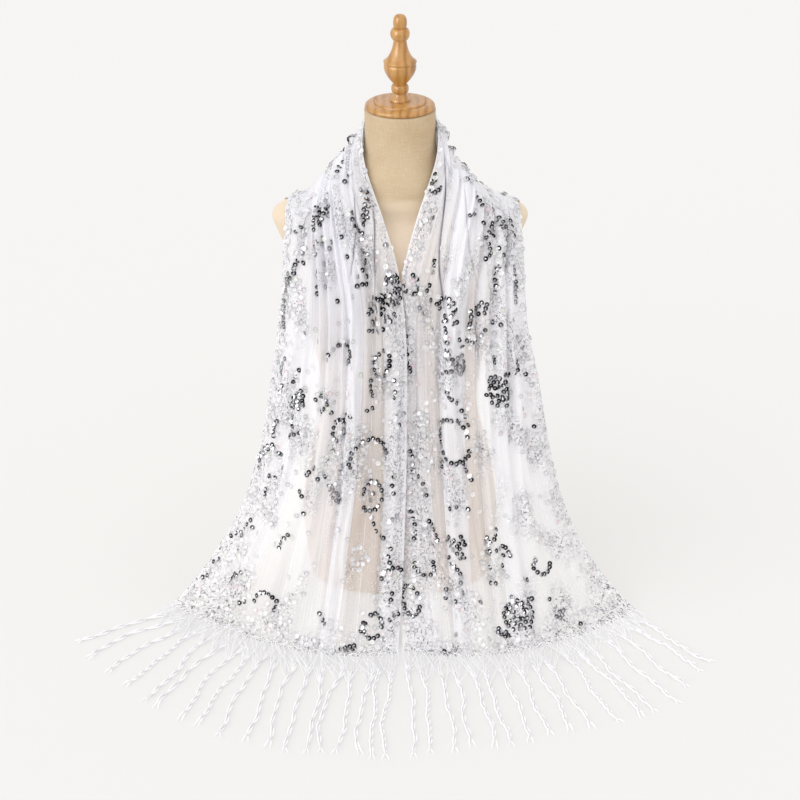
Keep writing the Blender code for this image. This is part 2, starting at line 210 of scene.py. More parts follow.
def makeLinen():
    # Weave: a noise drawn out level plus one drawn out upright. Colour by height: torso, the chest painted
    # paler as painted light where the stole shades it, under the neck, neck, and by |x| the shoulder ends;
    # slubs where the weave's sum is high. The sum is the bump too.
    look = linenLook
    material, tree, shader = newMaterial("unbleachedLinen", {"Roughness": 0.92, "Specular IOR Level": 0.25,
                                                              "Sheen Weight": 0.15, "Sheen Roughness": 0.5})
    place = node(tree, "TexCoord")
    scale = 1 / look["threadPitch"]
    threads = []
    for squash in ((scale * 0.10, scale * 0.10, scale), (scale, scale, scale * 0.10)):
        drawnOut = node(tree, "Mapping", {"Vector": (place, "Object"), "Scale": squash})
        threads.append(node(tree, "TexNoise", {"Vector": (drawnOut, "Vector"), "Scale": 1.0, "Detail": 2.0,
                                               "Roughness": 0.6}))
    weave = node(tree, "Math", {0: (threads[0], "Fac"), 1: (threads[1], "Fac")}, operation="ADD")
    cloudy = node(tree, "TexNoise", {"Vector": (place, "Object"), "Scale": 9.0, "Detail": 2.0})
    neck = node(tree, "ValToRGB", {"Fac": (cloudy, "Fac")},
                stops=((0.3, look["neckDeep"]), (0.6, look["neckPale"])))
    torso = node(tree, "MixRGB", {"Fac": (cloudy, "Fac"), "Color1": look["torsoDeep"],
                                  "Color2": look["torsoPale"]})

    # zones from the middle of the torso up to the neck, each mixed over the one before
    apart = node(tree, "SeparateXYZ", {"Vector": (place, "Object")})
    towardsNeck = node(tree, "MapRange", {"Value": (apart, "Z"), "From Min": look["paleTop"],
                                          "From Max": look["neckSeam"]})
    # painted light on the chest, paler against the stole's shade, going to the colour under the neck
    paintedLightChest = node(tree, "MixRGB", {"Fac": (towardsNeck, "Result"), "Color1": look["paintedLightChest"],
                                  "Color2": look["underNeck"]})
    aside = node(tree, "Math", {0: (apart, "X")}, operation="ABSOLUTE")
    atEnd = node(tree, "MapRange", {"Value": (aside, 0), "From Min": look["endStart"][0],
                                    "From Max": look["endStart"][1]})
    shoulders = node(tree, "MixRGB", {"Fac": (atEnd, "Result"), "Color1": (paintedLightChest, "Color"),
                                      "Color2": look["shoulderEnd"]})
    upper = node(tree, "MapRange", {"Value": (apart, "Z"), "From Min": look["chestStart"][0],
                                    "From Max": look["chestStart"][1]})
    body = node(tree, "MixRGB", {"Fac": (upper, "Result"), "Color1": (torso, "Color"),
                                 "Color2": (shoulders, "Color")})
    onNeck = node(tree, "MapRange", {"Value": (apart, "Z"), "From Min": look["neckSeam"] - 0.003,
                                     "From Max": look["neckSeam"] + 0.003})
    ground = node(tree, "MixRGB", {"Fac": (onNeck, "Result"), "Color1": (body, "Color"),
                                   "Color2": (neck, "Color")})
    slubs = node(tree, "MapRange", {"Value": (weave, 0), "From Min": look["slubStart"][0],
                                    "From Max": look["slubStart"][1], "To Max": 0.30})
    colour = node(tree, "MixRGB", {"Fac": (slubs, "Result"), "Color1": (ground, "Color"),
                                   "Color2": look["slub"]})
    link(tree, colour, "Color", shader, "Base Color")
    bump = node(tree, "Bump", {"Height": (weave, 0), "Strength": 0.18, "Distance": 0.0006})
    link(tree, bump, "Normal", shader, "Normal")
    return material


# Turned beech under clear satin varnish: growth rings along the axis, fine pores and a soft gloss
woodLook = {
    "light": "CC9B59",
    "mid": "C08B49",
    "dark": "A26B31",
    "ringPitch": 0.006,
    "broad": 38.0,             # scales of the broad noise and of the pores
    "pores": 900.0,
}


def makeWood(name, centre):
    # Bands across x, 38 parts, and broad noise, 62 parts, both ten times longer along the grain, give a
    # value that picks dark, mid or light. Fine pores darken it by up to a quarter and are the bump.
    look = woodLook
    material, tree, shader = newMaterial(name, {"Roughness": 0.34, "IOR": 1.5, "Coat Weight": 0.5,
                                                "Coat Roughness": 0.10, "Coat IOR": 1.5})
    place = node(tree, "TexCoord")
    grain = node(tree, "Mapping", {"Vector": (place, "Object"), "Location": centre,
                                   "Rotation": (0.05, 0.09, 0.0), "Scale": (1.0, 1.0, 0.10)})
    rings = node(tree, "TexWave", {"Vector": (grain, "Vector"), "Scale": 1 / look["ringPitch"] / 2 / math.pi,
                                   "Distortion": 3.5, "Detail": 2.0, "Detail Scale": 2.0},
                 wave_type="BANDS", bands_direction="X")
    broad = node(tree, "TexNoise", {"Vector": (grain, "Vector"), "Scale": look["broad"], "Detail": 2.0})
    mixed = node(tree, "Mix", {"Factor": 0.62, "A": (rings, "Fac"), "B": (broad, "Fac")})
    tone = node(tree, "ValToRGB", {"Fac": (mixed, "Result")},
                stops=((0.2, look["dark"]), (0.42, look["mid"]), (0.78, look["light"])))
    pores = node(tree, "TexNoise", {"Vector": (grain, "Vector"), "Scale": look["pores"], "Detail": 2.0})
    speck = node(tree, "MapRange", {"Value": (pores, "Fac"), "From Min": 0.3, "From Max": 0.5, "To Min": 0.75})
    colour = node(tree, "MixRGB", {"Fac": 1.0, "Color1": (tone, "Color"), "Color2": (speck, "Result")},
                  blend_type="MULTIPLY")
    link(tree, colour, "Color", shader, "Base Color")
    bump = node(tree, "Bump", {"Height": (pores, "Fac"), "Strength": 0.08, "Distance": 0.0004})
    link(tree, bump, "Normal", shader, "Normal")
    return material


# Warp-knitted polyester mesh, white embroidery on it: a veil of fine thread, faintly cool where it is thick
meshLook = {
    "thin": "FAF5F2",
    "thick": "EEEEF4",
    "stitchShade": "6A6A72",
    "stitchCover": 0.70,
    # painted shade: the grey inside deep creases; foldCover is the thread cover that this painted shade adds
    "paintedFoldShade": "9A98A1",
    "foldCover": 0.32,
    "streakPitch": 0.0030,     # gathered threads
    "netPitch": 0.0019,        # real holes are taken as 0.7 mm, too fine to show
    "stitchPitch": 0.0082,     # one wriggle of the embroidery thread
}


def makeMesh(name):
    # Cover: veil x streaks x net, plus the wriggling lines where |noise - 0.5| is small, as the stitch
    # attribute allows, plus the creases' painted shade. Colour: thin to thick by the veil, then grey on part
    # of the lines, and painted shade in the creases. The lines and streaks are the bump.
    look = meshLook
    material, tree, shader = newMaterial(name, {"Roughness": 0.6, "Specular IOR Level": 0.3,
                                                "Sheen Weight": 0.3, "Sheen Roughness": 0.35})
    place = node(tree, "UVMap", uv_map="clothMap")
    veil, stitch, shade = (node(tree, "Attribute", attribute_name=key) for key in ("veil", "stitch", "shade"))
    scale = 1 / look["streakPitch"]
    lengthwise = node(tree, "Mapping", {"Vector": (place, "UV"), "Scale": (scale, scale * 0.03, 1.0)})
    streak = node(tree, "TexNoise", {"Vector": (lengthwise, "Vector"), "Scale": 1.0, "Detail": 3.0,
                                     "Roughness": 0.6})
    netMap = node(tree, "Mapping", {"Vector": (place, "UV"), "Scale": (1 / look["netPitch"],) * 3})
    net = node(tree, "TexVoronoi", {"Vector": (netMap, "Vector"), "Scale": 1.0}, feature="DISTANCE_TO_EDGE")
    strand = node(tree, "MapRange", {"Value": (net, "Distance"), "From Min": 0.05, "From Max": 0.35,
                                     "To Min": 1.06, "To Max": 0.96})
    vary = node(tree, "MapRange", {"Value": (streak, "Fac"), "From Min": 0.3, "From Max": 0.7,
                                   "To Min": 0.91, "To Max": 1.08})
    threads = node(tree, "Math", {0: (veil, "Fac"), 1: (vary, "Result")}, operation="MULTIPLY")
    covered = node(tree, "Math", {0: (threads, 0), 1: (strand, "Result")}, operation="MULTIPLY")
    stitchMap = node(tree, "Mapping", {"Vector": (place, "UV"), "Scale": (1 / look["stitchPitch"],) * 3})
    wriggle = node(tree, "TexNoise", {"Vector": (stitchMap, "Vector"), "Scale": 1.0, "Detail": 0.6,
                                      "Distortion": 2.0})
    centred = node(tree, "Math", {0: (wriggle, "Fac"), 1: 0.5}, operation="SUBTRACT")
    away = node(tree, "Math", {0: (centred, 0)}, operation="ABSOLUTE")
    line = node(tree, "MapRange", {"Value": (away, 0), "From Min": 0.020, "From Max": 0.062,
                                   "To Min": 1.0, "To Max": 0.0})
    sewn = node(tree, "Math", {0: (line, "Result"), 1: (stitch, "Fac")}, operation="MULTIPLY")
    embroidered = node(tree, "Math", {0: (sewn, 0), 1: look["stitchCover"], 2: (covered, 0)},
                       operation="MULTIPLY_ADD")
    alpha = node(tree, "Math", {0: (shade, "Fac"), 1: look["foldCover"], 2: (embroidered, 0)},
                 operation="MULTIPLY_ADD", use_clamp=True)
    link(tree, alpha, 0, shader, "Alpha")
    tint = node(tree, "MixRGB", {"Fac": (veil, "Fac"), "Color1": look["thin"], "Color2": look["thick"]})
    spots = node(tree, "TexNoise", {"Vector": (stitchMap, "Vector"), "Scale": 1.7, "Detail": 1.0})
    dull = node(tree, "MapRange", {"Value": (spots, "Fac"), "From Min": 0.38, "From Max": 0.48})
    shaded = node(tree, "Math", {0: (sewn, 0), 1: (dull, "Result")}, operation="MULTIPLY")
    sewnColour = node(tree, "MixRGB", {"Fac": (shaded, 0), "Color1": (tint, "Color"),
                                       "Color2": look["stitchShade"]})
    # painted shade in the creases, by the crease attribute
    colour = node(tree, "MixRGB", {"Fac": (shade, "Fac"), "Color1": (sewnColour, "Color"),
                                   "Color2": look["paintedFoldShade"]})
    link(tree, colour, "Color", shader, "Base Color")
    raised = node(tree, "Math", {0: (sewn, 0), 1: 1.2, 2: (streak, "Fac")}, operation="MULTIPLY_ADD")
    bump = node(tree, "Bump", {"Height": (raised, 0), "Strength": 0.3, "Distance": 0.0006})
    link(tree, bump, "Normal", shader, "Normal")
    return material


# Silvered polyester film stamped to cups: a bright middle in a ring painted dark, a painted reflection of the
# room's dark side
silverLook = {"bright": "E6E6EA", "ring": "0A0A0C", "haze": 0.22}


def makeSilver():
    # Colour from bright to the ring's painted dark reflection, by the rim attribute.
    look = silverLook
    material, tree, shader = newMaterial("silveredFilm", {"Metallic": 1.0, "Roughness": look["haze"]})
    rim = node(tree, "Attribute", attribute_name="rim")
    tint = node(tree, "MixRGB", {"Fac": (rim, "Fac"), "Color1": look["bright"], "Color2": look["ring"]})
    link(tree, tint, "Color", shader, "Base Color")
    return material


# Clear polyester film with a pearl lustre: milky and glossy, a few cups faintly pink or green
# ring: the painted shade of the cup's wall; pink and green are tints of the film
pearlLook = {"middle": "F4F3F5", "ring": "9C9CA4", "pink": "CFA9B8", "green": "B3C2A2"}


def makePearl():
    # The ring's painted shade is grey but for the ends of the tint attribute; it is mixed in by the rim
    # attribute.
    look = pearlLook
    material, tree, shader = newMaterial("pearlFilm", {"Roughness": 0.20, "IOR": 1.58, "Coat Weight": 0.3,
                                                       "Coat Roughness": 0.10, "Alpha": 0.80})
    rim, choice = (node(tree, "Attribute", attribute_name=key) for key in ("rim", "tint"))
    hues = node(tree, "ValToRGB", {"Fac": (choice, "Fac")},
                stops=((0.0, look["pink"]), (0.07, look["ring"]), (0.94, look["green"])))
    hues.color_ramp.interpolation = "CONSTANT"
    tint = node(tree, "MixRGB", {"Fac": (rim, "Fac"), "Color1": look["middle"], "Color2": (hues, "Color")})
    link(tree, tint, "Color", shader, "Base Color")
    return material


# Twisted viscose yarn: soft white with a silky sheen, painted shade in the groove between the plies
yarnLook = {"white": "FDFDFE", "shadow": "F0F0F4", "groove": "C4C4CA", "through": 0.06}


def makeYarn(name):
    # White to shadow by a fine noise, then towards the groove's grey by the groove attribute: painted shade
    # where the plies meet, and a grey at random on some fine yarns. A little even painted glow stands for what
    # comes through such thin fibres.
    look = yarnLook
    # the emission is a painted glow standing for light through the fibres
    material, tree, shader = newMaterial(name, {"Roughness": 0.6, "Sheen Weight": 0.4, "Sheen Roughness": 0.3,
                                                "Specular IOR Level": 0.3, "Emission Color": look["white"],
                                                "Emission Strength": look["through"]})
    place = node(tree, "TexCoord")
    fibres = node(tree, "TexNoise", {"Vector": (place, "Object"), "Scale": 900.0, "Detail": 2.0})
    tint = node(tree, "MixRGB", {"Fac": (fibres, "Fac"), "Color1": look["white"], "Color2": look["shadow"]})
    groove = node(tree, "Attribute", attribute_name="groove")
    colour = node(tree, "MixRGB", {"Fac": (groove, "Fac"), "Color1": (tint, "Color"),
                                   "Color2": look["groove"]})
    link(tree, colour, "Color", shader, "Base Color")
    bump = node(tree, "Bump", {"Height": (fibres, "Fac"), "Strength": 0.3, "Distance": 0.0004})
    link(tree, bump, "Normal", shader, "Normal")
    return material


form = {
    "sides": 112,
    "rows": 150,
    # height, half width, depth in front, depth behind, squareness
    "rings": (
        (0.000, 0.130, 0.080, 0.080, 2.2),
        (0.005, 0.138, 0.088, 0.088, 2.2),
        (0.028, 0.143, 0.094, 0.094, 2.2),
        (0.110, 0.150, 0.105, 0.104, 2.2),   # hips
        (0.200, 0.139, 0.099, 0.097, 2.2),
        (0.290, 0.117, 0.086, 0.083, 2.2),   # waist
        (0.360, 0.122, 0.091, 0.086, 2.2),
        (0.425, 0.139, 0.106, 0.095, 2.2),
        (0.470, 0.149, 0.114, 0.101, 2.2),   # bust
        (0.520, 0.157, 0.104, 0.099, 2.3),
        (0.552, 0.168, 0.088, 0.090, 2.4),
        (0.578, 0.179, 0.071, 0.077, 2.5),
        (0.600, 0.186, 0.056, 0.064, 2.5),   # shoulder ends
        (0.613, 0.172, 0.054, 0.062, 2.3),
        (0.625, 0.145, 0.056, 0.062, 2.1),
        (0.643, 0.102, 0.056, 0.061, 2.0),
        (0.664, 0.073, 0.054, 0.058, 2.0),
        (0.688, 0.056, 0.051, 0.053, 2.0),   # root of the neck
        (0.715, 0.051, 0.050, 0.050, 2.0),
        (0.758, 0.051, 0.050, 0.050, 2.0),
    ),
    "seamHeight": 0.639,       # round the root of the neck
    "seamWidth": 0.0022,
    "seamRise": 0.0007,
}
formTable = smoothRows(form["rings"], np.linspace(0, len(form["rings"]) - 1, 400))


def ovalPoints(table, turns):
    # Superellipse at each height: half width and depth times cos and sin to the power 2 / squareness.
    height, width, front, back, square = (column[:, None] for column in table.T)
    across = np.sign(np.cos(turns)) * np.abs(np.cos(turns)) ** (2 / square)
    along = np.sign(np.sin(turns)) * np.abs(np.sin(turns)) ** (2 / square)
    depth = np.where(np.sin(turns) > 0, back, front)
    return np.stack([width * across, depth * along, height + 0 * across], axis=-1)


def formLevel(points):
    # The size of the form's oval that a point lies on, less 1: below 0 inside, above 0 outside.
    height = formTable[:, 0]
    width, front, back, square = (np.interp(points[..., 2], height, formTable[:, k]) for k in (1, 2, 3, 4))
    depth = np.where(points[..., 1] > 0, back, front)
    size = (np.abs(points[..., 0]) / width) ** square + (np.abs(points[..., 1]) / depth) ** square
    return size ** (1 / square) - 1


def liftOffForm(points, clearance, passes=7):
    # Moves each point out along the level's slope until level / slope is the clearance.
    step = 0.0004
    for _ in range(passes):
        slope = np.stack([(formLevel(points + offset) - formLevel(points - offset)) / (2 * step)
                          for offset in np.eye(3) * step], axis=-1)
        steepness = np.linalg.norm(slope, axis=-1)
        short = np.maximum(clearance - formLevel(points) / np.maximum(steepness, 1e-6), 0)
        points = points + unit(slope) * np.minimum(short, 0.01)[..., None]
    return points


def makeForm():
    # Rings from the neck's top down to the base, each closed; the flat ends are fans to a middle point.
    table = smoothRows(form["rings"], np.linspace(len(form["rings"]) - 1, 0, form["rows"]))
    seam = form["seamRise"] * np.exp(-((table[:, 0] - form["seamHeight"]) / form["seamWidth"]) ** 2)
    table[:, 1:4] += seam[:, None]
    turns = 2 * np.pi * np.arange(form["sides"]) / form["sides"]
    points = ovalPoints(table, turns[None])
    return closeEnds(points)


def closeEnds(rings):
    # A closed body from rings that run downwards: a fan at each end to the ring's own middle.
    rows, sides = rings.shape[:2]
    middles = rings[[0, -1]].mean(axis=1)
    points = np.concatenate([rings.reshape(-1, 3), middles])
    side = np.arange(sides)
    following = (side + 1) % sides
    lastRing = (rows - 1) * sides
    top = np.stack([np.full(sides, rows * sides), side, following], axis=1)
    bottom = np.stack([np.full(sides, rows * sides + 1), lastRing + following, lastRing + side], axis=1)
    return points, gridFaces(rows, sides, closed=True), np.concatenate([top, bottom])


points, faces, caps = makeForm()
formPiece = putPiece("linenForm", points, faces, makeLinen(), caps=caps)
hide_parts("form_torso")


turned = {
    "sides": 96,
    "spacing": 0.0007,          # along the profile
    "capFoot": 0.7583,
    "finialFoot": 0.7704,
    # radius and height above the foot; each stretch is smooth and meets the next at an edge
    "cap": (
        ((0.0006, 0.0118), (0.0336, 0.0118)),
        ((0.0336, 0.0118), (0.0352, 0.0113), (0.0362, 0.0100), (0.0366, 0.0086)),
        ((0.0366, 0.0086), (0.0395, 0.0095), (0.0440, 0.0091), (0.0480, 0.0074), (0.0502, 0.0045),
         (0.0494, 0.0015), (0.0465, 0.0000)),
        ((0.0465, 0.0000), (0.0006, 0.0000)),
    ),
    "finial": (
        ((0.0004, 0.1250), (0.0035, 0.1246), (0.0070, 0.1226), (0.0092, 0.1180), (0.0098, 0.1110),
         (0.0086, 0.1052)),
        ((0.0086, 0.1052), (0.0112, 0.1043), (0.0132, 0.1010), (0.0138, 0.0968), (0.0128, 0.0922),
         (0.0108, 0.0888), (0.0092, 0.0875)),
        ((0.0092, 0.0875), (0.0102, 0.0810), (0.0120, 0.0740), (0.0148, 0.0675), (0.0186, 0.0618),
         (0.0236, 0.0575)),
        ((0.0236, 0.0575), (0.0237, 0.0562), (0.0222, 0.0538)),
        ((0.0222, 0.0538), (0.0229, 0.0520), (0.0231, 0.0490), (0.0221, 0.0435), (0.0190, 0.0370),
         (0.0148, 0.0310), (0.0112, 0.0268), (0.0092, 0.0240)),
        ((0.0092, 0.0240), (0.0116, 0.0222), (0.0125, 0.0186), (0.0123, 0.0148), (0.0112, 0.0124),
         (0.0094, 0.0112)),
        ((0.0094, 0.0112), (0.0096, 0.0092), (0.0112, 0.0060), (0.0138, 0.0026), (0.0146, 0.0000)),
        ((0.0146, 0.0000), (0.0004, 0.0000)),
    ),
    "markDepth": 0.00012,       # of the rings that the tool left on the cap's flat top
    "markPitch": 0.0042,
    "markHeights": (0.0116, 0.01175),   # where they begin and are full
    "sharpAngle": 38,           # degrees; a steeper edge stays sharp
}


def latheProfile(stretches):
    # Each stretch as a smooth curve with a point every spacing, joined end to end.
    parts = []
    for stretch in stretches:
        stretch = np.array(stretch)
        length = np.sum(np.linalg.norm(np.diff(stretch, axis=0), axis=1))
        count = max(3, int(length / turned["spacing"]))
        parts.append(smoothRows(stretch, np.linspace(0, len(stretch) - 1, count))[:-1])
    return np.concatenate(parts + [stretch[-1:]])


def turnProfile(profile, foot):
    # The profile carried round the axis: radius cos, radius sin, height.
    turns = 2 * np.pi * np.arange(turned["sides"]) / turned["sides"]
    radius, height = profile[:, :1], profile[:, 1:] + foot
    rings = np.stack([radius * np.cos(turns), radius * np.sin(turns), height + 0 * turns], axis=-1)
    return closeEnds(rings)


capProfile = latheProfile(turned["cap"])
onTop = easeIn(capProfile[:, 1], *turned["markHeights"])
marks = 0.5 + 0.5 * np.cos(2 * np.pi * capProfile[:, 0] / turned["markPitch"])
capProfile[:, 1] -= turned["markDepth"] * marks * onTop
points, faces, caps = turnProfile(capProfile, turned["capFoot"])
wood = makeWood("varnishedBeechCap", (0.3, 0.1, 0.0))
cap = putPiece("turnedCap", points, faces, wood, caps=caps)
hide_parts("neck_cap")
points, faces, caps = turnProfile(latheProfile(turned["finial"]), turned["finialFoot"])
wood = makeWood("varnishedBeechFinial", (0.02, 0.0, 0.0))
finial = putPiece("turnedFinial", points, faces, wood, caps=caps)
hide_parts("finial")
for piece in (cap, finial):
    piece.data.set_sharp_from_angle(angle=math.radians(turned["sharpAngle"]))


stole = {
    "flatWidth": 0.40,
    "clearance": 0.0013,
    "rowsNeck": 120,           # rows of faces from shoulder to shoulder
    "rowsFall": 250,           # and down each fall
    "shoulder": 2,             # station at the top of the shoulder
    # stations from the nape over the shoulder to the hem; inner edge, middle, outer edge (x, y, z)
    "left": (
        ((0.0000, 0.0545, 0.7420), (0.0000, 0.0960, 0.6360), (0.0000, 0.1160, 0.5050)),
        ((0.0408, 0.0336, 0.7400), (0.0960, 0.0700, 0.6330), (0.1470, 0.0720, 0.5540)),
        ((0.0525, 0.0000, 0.7300), (0.1020, 0.0000, 0.6660), (0.1630, 0.0020, 0.6190)),
        ((0.0500, -0.0380, 0.6880), (0.1080, -0.0640, 0.6360), (0.1680, -0.0560, 0.5760)),
        ((0.0220, -0.0800, 0.6140), (0.1000, -0.1050, 0.5620), (0.1720, -0.0720, 0.5120)),
        ((0.0010, -0.1100, 0.5450), (0.0940, -0.1280, 0.4920), (0.1790, -0.0780, 0.4460)),
        ((-0.0090, -0.1340, 0.4550), (0.0960, -0.1380, 0.4100), (0.1900, -0.0820, 0.3700)),
        ((-0.0100, -0.1450, 0.3500), (0.1020, -0.1480, 0.3150), (0.2040, -0.0860, 0.2850)),
        ((-0.0090, -0.1570, 0.2400), (0.1130, -0.1640, 0.2180), (0.2260, -0.0900, 0.2040)),
        ((-0.0060, -0.1750, 0.1380), (0.1280, -0.1820, 0.1300), (0.2560, -0.0950, 0.1320)),
        ((-0.0020, -0.2010, 0.0560), (0.1430, -0.2050, 0.0550), (0.2960, -0.1020, 0.0660)),
        ((0.0020, -0.2290, 0.0120), (0.1540, -0.2270, 0.0120), (0.3320, -0.1090, 0.0200)),
        ((0.0020, -0.2480, 0.0012), (0.1600, -0.2380, 0.0012), (0.3520, -0.1140, 0.0012)),
    ),
    "right": (
        ((0.0000, 0.0545, 0.7420), (0.0000, 0.0960, 0.6360), (0.0000, 0.1160, 0.5050)),
        ((0.0408, 0.0336, 0.7430), (0.0970, 0.0690, 0.6270), (0.1510, 0.0720, 0.5540)),
        ((0.0525, 0.0000, 0.7370), (0.1010, 0.0000, 0.6560), (0.1710, 0.0000, 0.6160)),
        ((0.0510, -0.0360, 0.6940), (0.1120, -0.0640, 0.6380), (0.1780, -0.0560, 0.5760)),
        ((0.0230, -0.0790, 0.6180), (0.1040, -0.1050, 0.5620), (0.1810, -0.0700, 0.5120)),
        ((0.0030, -0.1060, 0.5450), (0.0980, -0.1280, 0.4900), (0.1880, -0.0780, 0.4460)),
        ((-0.0060, -0.1190, 0.4550), (0.1020, -0.1380, 0.4080), (0.2040, -0.0820, 0.3700)),
        ((-0.0080, -0.1280, 0.3500), (0.1100, -0.1490, 0.3120), (0.2190, -0.0860, 0.2850)),
        ((-0.0080, -0.1390, 0.2400), (0.1220, -0.1650, 0.2160), (0.2370, -0.0900, 0.2040)),
        ((-0.0060, -0.1560, 0.1380), (0.1360, -0.1830, 0.1300), (0.2620, -0.0970, 0.1320)),
        ((-0.0020, -0.1850, 0.0560), (0.1520, -0.2080, 0.0550), (0.3000, -0.1070, 0.0660)),
        ((0.0030, -0.2210, 0.0120), (0.1660, -0.2330, 0.0120), (0.3400, -0.1200, 0.0200)),
        ((0.0030, -0.2400, 0.0012), (0.1730, -0.2460, 0.0012), (0.3620, -0.1300, 0.0012)),
    ),
}
hemStation = len(stole["left"]) - 1

# Each pleat, from the inner edge out: its share of the width at shoulder and hem; its depth at
# shoulder, chest and hem; how far its crest leans outwards; its layers at shoulder, chest, knee and hem
pleats = {
    "keys": (0, 2, 5, 12),             # stations of nape, shoulder, chest and hem for shares and depths
    "layerKeys": (0, 2, 4.6, 8.5, 12),
    "napeDepth": 0.0150,
    "napeLayers": 1.6,
    "left": (
        (1.4, 0.9, 0.003, 0.005, 0.003, 0.2, 1.5, 1.0, 2.0, 1.5),
        (0.6, 1.2, 0.004, 0.008, 0.003, -0.6, 1.9, 1.0, 0.45, 0.7),
        (0.6, 1.0, 0.004, 0.008, 0.003, 0.5, 1.9, 1.2, 0.45, 0.7),
        (1.1, 0.6, 0.005, 0.011, 0.006, 0.7, 1.8, 2.0, 1.8, 1.3),
        (0.6, 0.6, 0.003, 0.006, 0.004, -0.5, 1.9, 1.5, 1.0, 1.0),
        (0.7, 1.8, 0.004, 0.010, 0.006, 0.4, 1.7, 1.5, 1.2, 1.0),
        (0.8, 2.1, 0.004, 0.009, 0.007, -0.5, 1.8, 1.2, 0.9, 0.9),
        (1.0, 0.5, 0.004, 0.008, 0.004, 0.6, 1.4, 1.5, 1.5, 1.3),
        (2.3, 0.7, 0.004, 0.009, 0.003, -0.2, 1.6, 1.4, 1.3, 1.3),
    ),
    "right": (
        (1.0, 1.4, 0.002, 0.004, 0.003, 0.3, 1.5, 1.25, 1.9, 1.5),
        (0.7, 0.5, 0.004, 0.008, 0.004, -0.5, 1.8, 0.8, 1.6, 1.3),
        (0.9, 0.4, 0.005, 0.011, 0.004, 0.6, 1.9, 0.8, 0.80, 0.9),
        (1.7, 0.6, 0.005, 0.013, 0.006, -0.6, 1.7, 1.9, 1.7, 1.3),
        (0.7, 1.2, 0.004, 0.009, 0.005, 0.7, 2.0, 0.8, 0.62, 0.9),
        (1.1, 0.4, 0.004, 0.008, 0.003, -0.4, 1.5, 1.1, 0.8, 0.9),
        (1.2, 1.1, 0.005, 0.010, 0.006, 0.5, 1.8, 1.6, 1.5, 1.3),
        (0.7, 2.1, 0.004, 0.008, 0.007, -0.6, 1.5, 1.4, 1.2, 1.1),
        (0.9, 1.9, 0.002, 0.005, 0.005, 0.3, 1.6, 1.5, 1.4, 1.3),
    ),
}
pleatCount = len(pleats["left"])

# Columns within one pleat: close together beside its two borders, where the folds are sharp
pleatColumns = np.array([0.0, 0.02, 0.06, *np.linspace(0.12, 0.88, 17), 0.94, 0.98])
columnPlaces = np.append((np.arange(pleatCount)[:, None] + pleatColumns).ravel(), pleatCount)
columnPleat = np.minimum(columnPlaces.astype(int), pleatCount - 1)
columnShare = columnPlaces - columnPleat

gathers = {
    "seed": 5,
    "waves": 13,
    "fewest": 3,                       # folds across the width in the widest and the finest wave
    "most": 19,
    "keys": (0, 2, 4, 6, 8, 10, 11.4, 12),
    "depths": (0.0128, 0.0044, 0.0056, 0.0056, 0.0048, 0.0044, 0.0034, 0.0012),
    "drift": 0.25,                     # folds that a wave moves sideways from station to station
    "cut": 0.28,                       # how rounded the bottom of each fold is
}

# Main creases: side, first and last station, share of the width there, half width, depth outwards
creaseColumns = ("side", "start", "end", "from", "to", "halfWidth", "depth")
creases = (
    (-1, 3.3, 5.4, 0.02, 0.21, 0.0028, -0.008),
    (-1, 3.3, 4.7, 0.18, 0.36, 0.0026, -0.007),
    (-1, 1.2, 7.5, 0.40, 0.33, 0.0060, 0.006),
    (-1, 2.2, 8.6, 0.62, 0.54, 0.0080, 0.005),
    (-1, 4.4, 11.0, 0.34, 0.31, 0.0070, 0.004),
    (1, 2.2, 3.1, 0.03, 0.18, 0.0030, -0.008),
    (1, 3.0, 5.4, 0.11, 0.35, 0.0032, -0.009),
    (1, 3.0, 4.6, 0.33, 0.60, 0.0040, -0.004),
    (1, 1.2, 7.2, 0.46, 0.36, 0.0060, 0.006),
    (1, 2.0, 8.4, 0.70, 0.58, 0.0080, 0.005),
    (1, 4.6, 11.2, 0.44, 0.40, 0.0070, 0.004),
)


def stationRows():
    # Both tables end to end: left hem, nape, right hem, with x counted from the centre.
    left, right = np.array(stole["left"]), np.array(stole["right"])
    left[..., 0] *= -1
    return np.concatenate([left[::-1], right[1:]])


def sheetPoints(stations, across):
    # Quadratic through the inner, middle and outer points of each station's row.
    rows = smoothRows(stationRows(), stations + hemStation)
    inner, middle, outer = (rows[:, None, k] for k in range(3))
    u = across[..., None]
    return inner * (1 - u) * (1 - 2 * u) + middle * 4 * u * (1 - u) + outer * u * (2 * u - 1)


def byStation(stations, keys, left, right):
    # Straight-line reading between the keys' rows, from the left table for stations below 0.
    place = np.interp(np.abs(stations), keys, np.arange(len(keys)))
    low = np.minimum(place.astype(int), len(keys) - 2)
    share = (place - low)[:, None]
    onLeft = (stations < 0)[:, None]
    return np.where(onLeft, left[low] * (1 - share) + left[low + 1] * share,
                    right[low] * (1 - share) + right[low + 1] * share)


def pleatTable(stations, keys, start, columns):
    # One value for each row and pleat: the start at the nape, then the given columns of both tables.
    tables = []
    for sideName in ("left", "right"):
        values = np.array(pleats[sideName]).T
        tables.append(np.stack([np.full(pleatCount, start)] + [values[k] for k in columns]))
    return byStation(stations, keys, *tables)


def pleatBorders(stations):
    # Running sum of the pleats' shares, as shares of the whole width, from 0 to 1.
    shares = pleatTable(stations, pleats["keys"], 1.0, (0, 0, 1))
    borders = np.cumsum(shares, axis=1) / shares.sum(axis=1, keepdims=True)
    return np.concatenate([np.zeros((len(stations), 1)), borders], axis=1)


